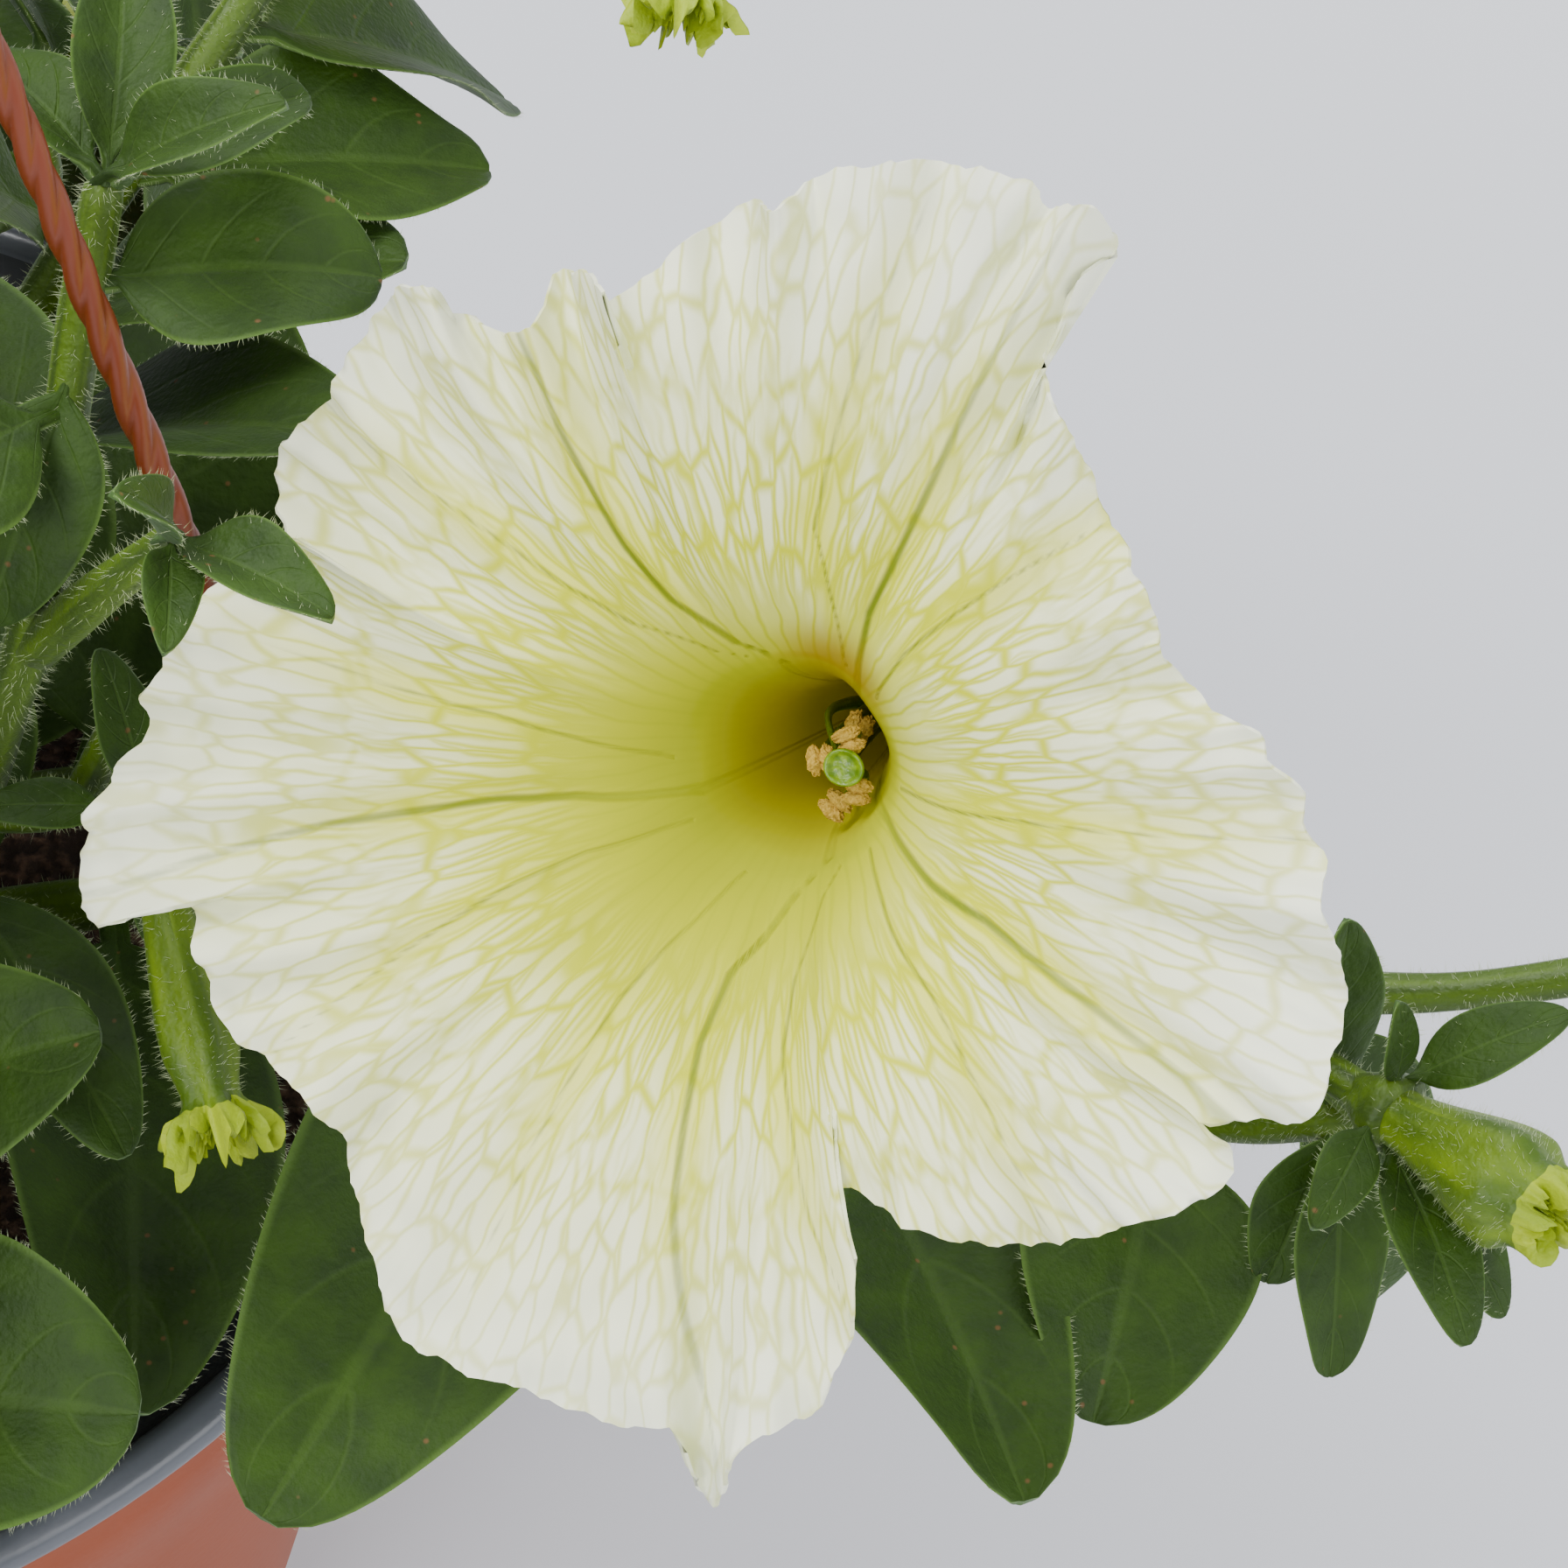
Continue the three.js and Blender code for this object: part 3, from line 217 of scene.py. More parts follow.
# Outline of the limb that keeps leaves at their distance: bearing in degrees, reach, height above the throat
PLAN_OUTLINE = np.array([
    [190, 42, 9], [195, 36, 11], [205, 35.5, 8.5], [216, 33, 11], [223, 34, 8], [232, 36.5, 11],
    [241, 39.8, 9], [250, 39, 11], [259, 39.4, 9], [267, 44, 8], [272, 38.5, 12], [279, 36.5, 9.5],
    [285, 24.5, 10], [295, 27.5, 11.5], [305, 31.6, 9], [319, 35, 12], [326, 36.3, 9], [335, 38.6, 12],
    [345, 37.8, 9], [352, 36.4, 11.5], [0, 34.6, 10], [9, 32.2, 12], [18, 27.8, 9], [28, 28.6, 12],
    [38, 28.4, 9], [50, 31.2, 11.5], [57, 41, 12.5], [64, 40.8, 11], [73, 39, 9], [82, 36.8, 11],
    [91, 34.4, 8], [100, 30.8, 13], [108, 32, 9], [114, 29.8, 12], [121, 34.4, 12], [128, 35.2, 9],
    [137, 33.8, 11], [147, 33.8, 9], [152, 29.9, 12], [161, 34.4, 9], [170, 36.3, 11], [180, 38.4, 9.5],
])

# The finer outline of the bloom in full view, in the same order and units
FRONT_OUTLINE = np.array([
    [189.6, 42.0, 9], [193.5, 40.4, 12], [191.6, 37.2, 8], [199.4, 34.7, 11], [204.9, 36.1, 9],
    [215.8, 32.9, 11], [222.6, 34.0, 8], [231.8, 36.5, 11], [239.2, 40.2, 9], [248.4, 38.9, 11],
    [257.8, 39.4, 9], [264.6, 39.0, 10], [267.0, 44.2, 7], [272.4, 38.2, 13], [278.3, 36.9, 10],
    [286.0, 29.4, 12], [283.7, 23.4, 9], [295.2, 27.5, 11], [304.9, 31.6, 9], [319.6, 34.9, 12],
    [326.1, 36.5, 9], [329.2, 33.4, 12], [331.0, 35.7, 10], [335.5, 38.8, 12], [344.8, 37.8, 9],
    [351.7, 36.4, 12], [359.8, 34.7, 10], [369.1, 32.3, 12], [377.9, 27.7, 9], [386.7, 28.6, 12],
    [397.8, 28.3, 9], [410.7, 31.2, 12], [416.2, 32.5, 9], [415.9, 37.6, 12], [415.2, 39.8, 10],
    [418.0, 41.8, 15], [422.0, 39.7, 10], [424.1, 40.9, 12], [430.7, 39.3, 9], [436.6, 38.3, 11],
    [442.6, 36.7, 9], [444.7, 34.8, 12], [450.6, 34.5, 7], [455.7, 32.4, 9], [462.6, 29.8, 12],
    [460.6, 31.0, 16], [468.9, 32.1, 9], [473.9, 29.6, 12], [480.9, 32.4, 9], [480.9, 34.8, 13],
    [487.7, 35.4, 9], [495.6, 33.8, 11], [506.9, 34.0, 9], [510.2, 30.2, 13], [511.7, 29.7, 11],
    [521.1, 34.4, 9], [530.2, 36.3, 11], [539.0, 38.1, 9], [541.8, 39.1, 12],
])


@dataclass(frozen=True)
class BloomPlan:
    """Place of a bloom: throat centre, axis out of the mouth, turn about the axis in degrees, and size."""

    name: str
    throat: Array
    mouth: Array
    turn: float
    size: float
    mirrored: bool = False

    @property
    def axis(self) -> Array:
        """Unit direction out of the mouth."""
        return unit(self.mouth)

    @property
    def right(self) -> Array:
        """Unit direction that bearing 0 points in."""
        return square_to(vec(1, 0, 0), self.axis)

    @property
    def left(self) -> Array:
        """Unit direction that bearing 90 points in."""
        return np.cross(self.axis, self.right)

    @property
    def hand(self) -> int:
        """-1 for a mirrored bloom, else 1."""
        return -1 if self.mirrored else 1

    def at(self, bearing: Array, reach: Array, height: Array) -> Array:
        """Returns points from bearings in radians, reaches and heights above the throat."""
        bearing, reach, height = (np.asarray(value, dtype=float)[..., None] for value in (bearing, reach, height))
        return (self.throat + self.right * reach * np.cos(bearing) + self.left * reach * np.sin(bearing)
                + self.axis * height)

    def plan_points(self) -> Array:
        """Gives points over the limb that leaves keep clear of.

        The reach grows evenly from the throat to the outline, and the height follows the funnel's curve.

        Returns:
            An array of points, five along each ray of the outline.
        """
        w = np.array([0.2, 0.4, 0.6, 0.8, 1.0])[None, :]
        bearing = np.radians(PLAN_OUTLINE[:, :1] * self.hand + self.turn) + 0 * w
        throat = THROAT_RADIUS * self.size
        reach = throat + (PLAN_OUTLINE[:, 1:2] * self.size - throat) * w
        swell = (PLAN_OUTLINE[:, 2:3] - FUNNEL_HEIGHT) * (-1.3 if self.mirrored else 1)
        height = (FUNNEL_HEIGHT * (1 - (1 - w) ** FUNNEL_TURN) + swell * w**RUFFLE_POWER) * self.size
        return self.at(bearing, reach, height).reshape(-1, 3)


BLOOMS = [
    BloomPlan("bloom_1", vec(83.3, -34.1, 168.9), vec(-0.28, -0.693, 0.665), 0, 0.99),
    BloomPlan("bloom_2", polar(58, 86, 158), vec(0.4, 0.63, 0.66), 70, 0.94),
    BloomPlan("bloom_3", polar(128, 86, 152), vec(-0.5, 0.62, 0.6), 150, 0.96, mirrored=True),
    BloomPlan("bloom_4", polar(172, 92, 162), vec(-0.66, 0.06, 0.75), 215, 0.98),
    BloomPlan("bloom_5", polar(243, 86, 150), vec(-0.4, -0.74, 0.54), 20, 0.95, mirrored=True),
    BloomPlan("bloom_6", vec(-8, 5, 208), vec(-0.16, 0.12, 0.98), 290, 0.84),
]

# Stigma, then anthers: bearing in degrees, distance from the axis, depth below the throat.
# The last value of an anther is the bearing that its filament rises at.
STIGMA = (358, 3.3, 2.6)
ANTHERS = ((22, 3.6, 3.6, 50), (6, 1.7, 3.2, 115), (335, 4.2, 3.8, 300), (28, 3.1, 8.0, 10), (305, 3.6, 5.2, 225))

# Plan of the foliage

LIGHT_LEAN = 0.35
LEAF_REACH = 1.7
LEAF_GROWTH = 1.2
BLOOM_REACH = 3.2
STEM_REACH = 0.8
STEM_RADII = (2.1, 1.3)
STALK_RADII = (1.1, 1.3)
BRANCH_RADII = (1.5, 1.2)
PLACE_TURNS = (0, 24, -24, 48, -48, 72, -72, 100, -100, 130, -130, 160)
PLACE_SIZES = (1, 0.84, 0.7, 0.56)
GOLDEN_TURN = 137.5
# The owner of what belongs to no shoot
OTHERS = -1


class Growth(Enum):
    """What a leaf-shaped blade grows as."""

    GROWN = "grown leaf"
    YOUNG = "young leaf"
    SEPAL = "sepal"


@dataclass
class Leaf:
    """Arched blade with a V fold and waved edges: s runs from base 0 to tip 1, v across from -1 to 1."""

    base: Array
    along: Array
    normal: Array
    length: float
    width: float
    bend: float
    fold: float
    wave: float
    phase: float
    growth: Growth = Growth.GROWN

    def half_width(self, s: Array) -> Array:
        """Returns half the blade's width at s: a skewed sine arch past a narrow stalk.

        Args:
            s: places along the blade, 0 at the base and 1 at the tip.

        Returns:
            The half widths in millimetres.
        """
        blade_s = np.clip((s - 0.12) / 0.88, 0.0, 1.0)
        blade = np.maximum(np.sin(pi * blade_s**0.8), 0.0) ** (0.95 - 0.45 * blade_s)
        return self.width / 2 * np.maximum(np.where(s < 0.5, 0.1, 0.0), blade)

    def points(self, s: Array, v: Array, lift: Array = 0.0) -> Array:
        """Gives points of the blade.

        The midrib is a circular arc through the angle bend. The halves rise from it at the angle fold, and the
        edges rise and sink as sin(9 s + phase) times v squared.

        Args:
            s: places along the blade.
            v: places across it.
            lift: height above the middle of its thickness.

        Returns:
            Points in millimetres, in the shape that s and v have together.
        """
        s, v, lift = np.broadcast_arrays(*(np.asarray(value, dtype=float) for value in (s, v, lift)))
        turn = self.bend * s
        straight = abs(self.bend) < 1e-3
        reach = s if straight else np.sin(turn) / self.bend
        sink = 0 * s if straight else (1 - np.cos(turn)) / self.bend
        half = self.half_width(s)
        wave = self.wave * self.width * np.sin(9 * s + self.phase + np.where(v > 0, 1.3, 0.0)) * v * v
        rise = half * np.abs(v) * sin(self.fold) + wave * np.minimum(1, 4 * half / self.width) + lift
        across = np.cross(self.along, self.normal)
        normal = self.along * np.sin(turn)[..., None] + self.normal * np.cos(turn)[..., None]
        centre = (self.base + self.along * (self.length * reach)[..., None]
                  - self.normal * (self.length * sink)[..., None])
        return centre + across * (half * v * cos(self.fold))[..., None] + normal * rise[..., None]

    def samples(self) -> tuple[Array, Array]:
        """Returns the s values and points that the blade's clearance is tested at.

        Returns:
            The s values and the points.
        """
        rows = 10 if self.length > 20 else 6
        columns = 3 if self.width > 10 else 1
        s = 0.2 + 0.8 * np.arange(rows) / (rows - 1)
        s, v = np.meshgrid(s, np.arange(-columns, columns + 1) / columns, indexing="ij")
        return s.ravel(), self.points(s, v).reshape(-1, 3)


@dataclass(frozen=True)
class BudPlan:
    """Furled bud on a stalk: t on the shoot, points on the way, end of the stalk, axis and sizes."""

    t: float
    end: Array
    mouth: Array
    length: float
    girth: float
    sepal: float = 9.0
    spread: float = 60.0
    crown: float = 1.25
    tips: tuple[Array, ...] = ()
    via: tuple[Array, ...] = ()

    @property
    def axis(self) -> Array:
        """Unit direction that the bud points in."""
        return unit(self.mouth)


@dataclass(frozen=True)
class ShootPlan:
    """Shoot: its path, leaves, and what it carries.

    A leaf by place has its tip where the photograph shows it, as (t on the shoot, x, y, z, width, bend). The
    leaves by rule are (count, from, to, length).
    """

    path: tuple[Array, ...]
    rule: tuple[int, float, float, float]
    tip: int
    placed: tuple[tuple[float, ...], ...] = ()
    bloom: Optional[int] = None
    bloom_from: float = 0.5
    bloom_via: tuple[Array, ...] = ()
    buds: tuple[BudPlan, ...] = ()
    branch: tuple[Array, ...] = ()
    branch_from: float = 0.67
    branch_tip: int = 5
    branch_length: float = 13.0


def arch(start: float, end: float, *stations: tuple[float, float]) -> tuple[Array, ...]:
    """Returns a path whose bearing goes evenly from start to end, through (reach, height) stations."""
    share = np.linspace(0, 1, len(stations))
    return tuple(polar(start + (end - start) * k, *station) for k, station in zip(share, stations))


SHOOTS = [
    ShootPlan(
        path=(vec(16, -4, 92), vec(24, -6, 112), vec(48, -11, 123), vec(72, -15, 121), vec(94, -22, 121),
              vec(110.5, -31.5, 127), vec(121, -36, 134)),
        placed=(
            (0.63, 98.6, -59.6, 125.6, 20, 0.5), (0.83, 103.3, -51, 121, 17, 0.5),
            (0.97, 114.7, -41.9, 123.6, 7, 0.3), (0.97, 118.6, -47.5, 121, 7, 0.3),
            (0.96, 119, -29, 146, 7, -0.2), (0.42, 64, 18, 134, 18, 0.5),
            (0.57, 51, -62, 128, 24, 0.5), (0.37, 42.5, -54, 127, 21, 0.4),
        ),
        bloom=0, bloom_from=0.55, bloom_via=(vec(88, -12, 130),),
        buds=(BudPlan(1, vec(122.6, -39.5, 139), vec(0.66, -0.7, 0.25), 13, 3.9, crown=0.75,
                      tips=(vec(121.9, -35.7, 146.7), vec(132.7, -35.8, 145.4), vec(116.3, -48.2, 140.1),
                            vec(126, -53.1, 134.1), vec(128.9, -48.5, 130))),),
        rule=(3, 0.12, 0.38, 30), tip=0),
    ShootPlan(
        path=(vec(18, -12, 92), vec(22, -16, 114), vec(29, -21.5, 138), vec(35, -25, 160), vec(39, -25, 173),
              vec(42, -16.5, 187), vec(44.5, -13, 198)),
        placed=(
            (0.85, 36.1, -27, 173.9, 9, 0.5),
            (0.45, 42.5, -43, 140, 10, 0.5),
            (0.9, 60, -14, 190, 13, 0.7), (0.82, 25, -32, 186, 13, 0.6),
        ),
        branch=(vec(44, -28, 179), vec(48.5, -29.6, 185.4)), branch_tip=6, branch_length=11,
        buds=(BudPlan(0.5, vec(44.2, -27.8, 154), vec(0.237, -0.88, -0.41), 20, 2.4, crown=1.7,
                      tips=(vec(41.7, -22.2, 165.2), vec(34, -28.4, 157), vec(49.3, -28, 148.6),
                            vec(46.6, -30, 144.7), vec(43.9, -28.9, 143)),
                      via=(vec(38.5, -23, 150),)),),
        rule=(4, 0.1, 0.95, 26), tip=6),
    ShootPlan(
        path=(polar(20, 14, 92), polar(22, 17, 112), polar(25, 28, 136), polar(28, 40, 153), polar(31, 52, 163),
              polar(34, 62, 169)),
        placed=(
            (0.62, 59, 14, 159, 20, 0.4), (0.74, 63.9, 25.3, 155.2, 18, 0.4),
            (0.88, 63.9, 42.7, 143, 15, 0.4),
            (0.5, 58, -2, 160, 18, 0.6),
        ),
        buds=(BudPlan(0.97, vec(78.5, 36, 182.4), vec(-0.1, -0.88, -0.47), 17, 3.4, 9, 60,
                      via=(vec(64, 40, 176), vec(73, 43, 183.5))),),
        rule=(6, 0.15, 0.9, 34), tip=3),
    ShootPlan(
        path=(vec(19, 4, 92), vec(26, 4, 112), vec(48, 3, 117), vec(68, 1, 117), vec(92, -4, 112),
              vec(112, -10, 112), vec(127, -15, 117), vec(143, -16, 122)),
        rule=(8, 0.2, 0.88, 32), tip=5),
    ShootPlan(
        path=arch(64, 70, (12, 92), (15, 112), (27, 132), (45, 144), (66, 146), (86, 134), (100, 112), (106, 88)),
        bloom=1, bloom_from=0.42, bloom_via=(polar(56, 52, 132),), rule=(8, 0.14, 0.93, 38), tip=3),
    ShootPlan(
        path=arch(82, 76, (20, 92), (24, 112), (42, 123), (64, 126), (84, 118), (96, 98), (100, 72)),
        buds=(BudPlan(0.62, polar(90, 98, 136), vec(-0.1, 0.7, 0.6), 20, 3.2, 9, 55, via=(polar(86, 90, 128),)),),
        rule=(8, 0.2, 0.92, 36), tip=3),
    ShootPlan(
        path=arch(113, 111, (13, 92), (16, 112), (26, 134), (42, 150), (60, 154), (78, 146), (92, 128)),
        bloom=2, bloom_from=0.5, bloom_via=(polar(120, 54, 136),), rule=(8, 0.16, 0.93, 37), tip=3),
    ShootPlan(
        path=arch(146, 150, (21, 92), (25, 112), (44, 122), (66, 125), (86, 115), (98, 92), (101, 64)),
        rule=(8, 0.2, 0.92, 38), tip=3),
    ShootPlan(
        path=arch(186, 190, (12, 92), (15, 112), (24, 136), (40, 154), (60, 160), (80, 152), (96, 134)),
        bloom=3, bloom_from=0.5, bloom_via=(polar(178, 54, 138),), rule=(8, 0.16, 0.93, 36), tip=3),
    ShootPlan(
        path=arch(204, 201, (21, 92), (25, 112), (43, 120), (65, 121), (84, 110), (95, 88)),
        rule=(7, 0.22, 0.9, 34), tip=3),
    ShootPlan(
        path=arch(229, 227, (12, 92), (15, 112), (25, 132), (42, 146), (60, 150), (80, 141), (95, 122)),
        bloom=4, bloom_from=0.5, bloom_via=(polar(236, 54, 132),), rule=(8, 0.16, 0.93, 37), tip=3),
    ShootPlan(
        path=arch(262, 266, (20, 92), (24, 112), (42, 121), (65, 124), (86, 115), (99, 94), (104, 70)),
        rule=(8, 0.2, 0.92, 36), tip=3),
    ShootPlan(
        path=arch(292, 292, (14, 92), (17, 112), (30, 127), (48, 132), (66, 130), (84, 118)),
        placed=((0.77, 44, -58.5, 135, 21, 0.3),),
        buds=(BudPlan(0.8, polar(284, 82, 142), vec(0, -0.7, 0.65), 18, 3.2, 9, 60, via=(polar(288, 76, 134),)),),
        rule=(7, 0.16, 0.92, 34), tip=3),
    ShootPlan(
        path=(vec(2, 2, 92), vec(2, 2, 112), vec(0, 0, 136), vec(-2.5, 1, 158), vec(-3, 1.6, 170)),
        bloom=5, bloom_from=1, rule=(8, 0.3, 0.9, 32), tip=0),
    ShootPlan(
        path=(polar(140, 10, 92), polar(142, 13, 114), polar(146, 22, 140), polar(150, 32, 162),
              polar(152, 41, 180), polar(152, 46, 194)),
        rule=(7, 0.2, 0.92, 34), tip=4),
    ShootPlan(
        path=(polar(320, 7, 92), polar(318, 10, 114), polar(300, 20, 140), polar(285, 28, 164),
              polar(280, 33, 184), polar(278, 36, 196)),
        rule=(7, 0.2, 0.92, 32), tip=4),
]


@dataclass
class TakenSpace:
    """Rows (x, y, z, reach, owner, whether a stem) of points that stems, blooms and leaves already fill."""

    rows: list[Array] = field(default_factory=list)

    def take(self, points: Array, reach: Array, owner: int = OTHERS, stem: bool = False) -> None:
        """Adds points.

        Args:
            points: an array of points.
            reach: how far each one fills the space round it.
            owner: number of the shoot that they belong to, if they do.
            stem: whether they are a stem, which its own leaves may touch near their base.
        """
        self.rows.append(np.column_stack([points, *np.broadcast_arrays(reach, owner, stem, points[:, 0])[:3]]))

    def free_for(self, leaf: Leaf, owner: int, young: bool = False) -> bool:
        """Says whether a leaf is clear of the pot and of everything taken.

        Args:
            leaf: the leaf to be placed.
            owner: number of the shoot that it grows on.
            young: whether it may touch its own shoot's other young leaves in its lower part.

        Returns:
            True when each of its sample points is further from each taken point than both reaches together.
        """
        s, samples = leaf.samples()
        radius, z = np.hypot(samples[:, 0], samples[:, 1]), samples[:, 2]
        inside = (z < POT.soil_top + 4) & (radius < POT.rim_radius)
        at_rim = (z < POT.height + 2.5) & (np.abs(radius - POT.bead_centre) < 5)
        if np.any(inside | at_rim | (z <= 12)):
            return False
        rows = np.concatenate(self.rows)
        points = rows[:, :3]
        near = np.all((points > samples.min(axis=0) - 10) & (points < samples.max(axis=0) + 10), axis=1)
        reach, owners, stems = rows[near, 3:].T
        gap = np.linalg.norm(samples[:, None] - points[near][None], axis=2)
        spared = (owners == owner) & np.where(stems > 0, s[:, None] < 0.4, young and s[:, None] < 0.7)
        return bool(np.all(spared | (gap > reach + LEAF_REACH)))


@dataclass
class Stalk:
    """Stalk of a bloom or bud, with its cup and five strap sepals at the end."""

    start: Array
    via: tuple[Array, ...]
    end: Array
    axis: Array
    turn: float
    sepal: float
    spread: float
    bud: Optional[BudPlan] = None

    def points(self) -> list[Array]:
        """Returns the points that the stalk follows, the last 7 mm along its end's axis."""
        return [self.start, *self.via, self.end - 7 * self.axis, self.end]

    def sides(self) -> tuple[Array, Array]:
        """Returns two directions square to the axis and to each other."""
        side = square_to(vec(1, 0, 0) if abs(self.axis[2]) > 0.8 else UP, self.axis)
        return side, np.cross(self.axis, side)

    def sepals(self) -> list[Leaf]:
        """Returns the five sepals, which reach to their tips or else lean out from the axis by the spread.

        Returns:
            The sepals as leaves.
        """
        if self.bud and self.bud.tips:
            return [self.placed_sepal(tip) for tip in self.bud.tips]
        side, top = self.sides()
        lean = radians(self.spread)
        blades = []
        for k in range(5):
            turn = radians(72 * k + self.turn)
            outward = side * cos(turn) + top * sin(turn)
            blades.append(Leaf(
                base=self.end - 1.6 * self.axis + 1.6 * outward,
                along=self.axis * cos(lean) + outward * sin(lean),
                normal=self.axis * sin(lean) - outward * cos(lean),
                length=self.sepal, width=0.36 * self.sepal, bend=0.5, fold=0.25, wave=0, phase=0,
                growth=Growth.SEPAL))
        return blades

    def placed_sepal(self, tip: Array) -> Leaf:
        """Returns the sepal that reaches from the calyx to a tip.

        Args:
            tip: the point of the sepal.

        Returns:
            The sepal as a leaf.
        """
        base = self.end - 1.6 * self.axis + 1.6 * square_to(tip - self.end, self.axis)
        leaf = leaf_to_tip(base, tip, 0.42 * float(np.linalg.norm(tip - base)), 0.5, 0)
        return replace(leaf, fold=0.25, wave=0, growth=Growth.SEPAL)


@dataclass
class GrownShoot:
    """Everything that one shoot carries, worked out before its mesh."""

    number: int
    plan: ShootPlan
    random: Iterator[float]
    path: list[Array] = field(default_factory=list)
    stalks: list[Stalk] = field(default_factory=list)
    leaves: list[Leaf] = field(default_factory=list)

    def __post_init__(self) -> None:
        """Puts an upright foot under the path."""
        foot, *rest = self.plan.path
        self.path = [foot, foot + vec(0, 0, POT.hole_depth + 2), *rest]

    @property
    def curve(self) -> SmoothCurve:
        """The shoot's centre line."""
        return SmoothCurve(self.path)

    @property
    def branch(self) -> Optional[SmoothCurve]:
        """The centre line of its side branch, if it has one."""
        if not self.plan.branch:
            return None
        return SmoothCurve([self.curve.at(self.plan.branch_from), *self.plan.branch])

    def lines(self) -> list[tuple[SmoothCurve, tuple[float, float]]]:
        """Returns each centre line of the shoot with its radii at both ends.

        Returns:
            The stem first, then its side shoots.
        """
        lines = [(self.curve, STEM_RADII)]
        lines += [(SmoothCurve(stalk.points()), STALK_RADII) for stalk in self.stalks]
        if self.branch:
            lines.append((self.branch, BRANCH_RADII))
        return lines


def lit_normal(base: Array, along: Array) -> Array:
    """Returns the direction square to a leaf that faces the light best: up, leaning out from the pot."""
    outward = unit(vec(base[0], base[1], 0))
    return square_to(UP + LIGHT_LEAN * outward, along)


def leaf_to_tip(base: Array, tip: Array, width: float, bend: float, phase: float) -> Leaf:
    """Gives the leaf between a stem point and a tip.

    Args:
        base: where it leaves the stem.
        tip: its tip.
        width: its width.
        bend: angle of its midrib's arc.
        phase: phase of its margin's waves.

    Returns:
        A leaf whose arc through the angle bend has its chord between the two points.
    """
    chord = tip - base
    half = bend / 2
    straight = unit(chord)
    lift = lit_normal(base, straight)
    return Leaf(
        base=base, along=straight * cos(half) + lift * sin(half),
        normal=-straight * sin(half) + lift * cos(half),
        length=float(np.linalg.norm(chord)) * abs(half) / sin(abs(half)), width=width, bend=bend,
        fold=0.3, wave=0.05, phase=phase)


def leaf_on_stem(base: Array, tangent: Array, bearing: float, spread: float, length: float, **shape: float) -> Leaf:
    """Gives a leaf that leaves the stem at a bearing round it and arches over.

    Args:
        base: point on the stem.
        tangent: the stem's direction there.
        bearing: degrees round the stem.
        spread: degrees away from the stem's direction.
        length: length of the blade.
        shape: slim, bend, fold and phase, and the growth.

    Returns:
        The leaf, its face turned to the light.
    """
    side = square_to(unit(vec(-base[1], base[0], 0)), tangent)
    top = np.cross(tangent, side)
    turn, lean = radians(bearing), radians(spread)
    outward = side * cos(turn) + top * sin(turn)
    along = unit(outward * sin(lean) + tangent * cos(lean))
    return Leaf(base=base, along=along, normal=lit_normal(base, along), length=length,
                width=length * shape.pop("slim"), wave=0.05, **shape)


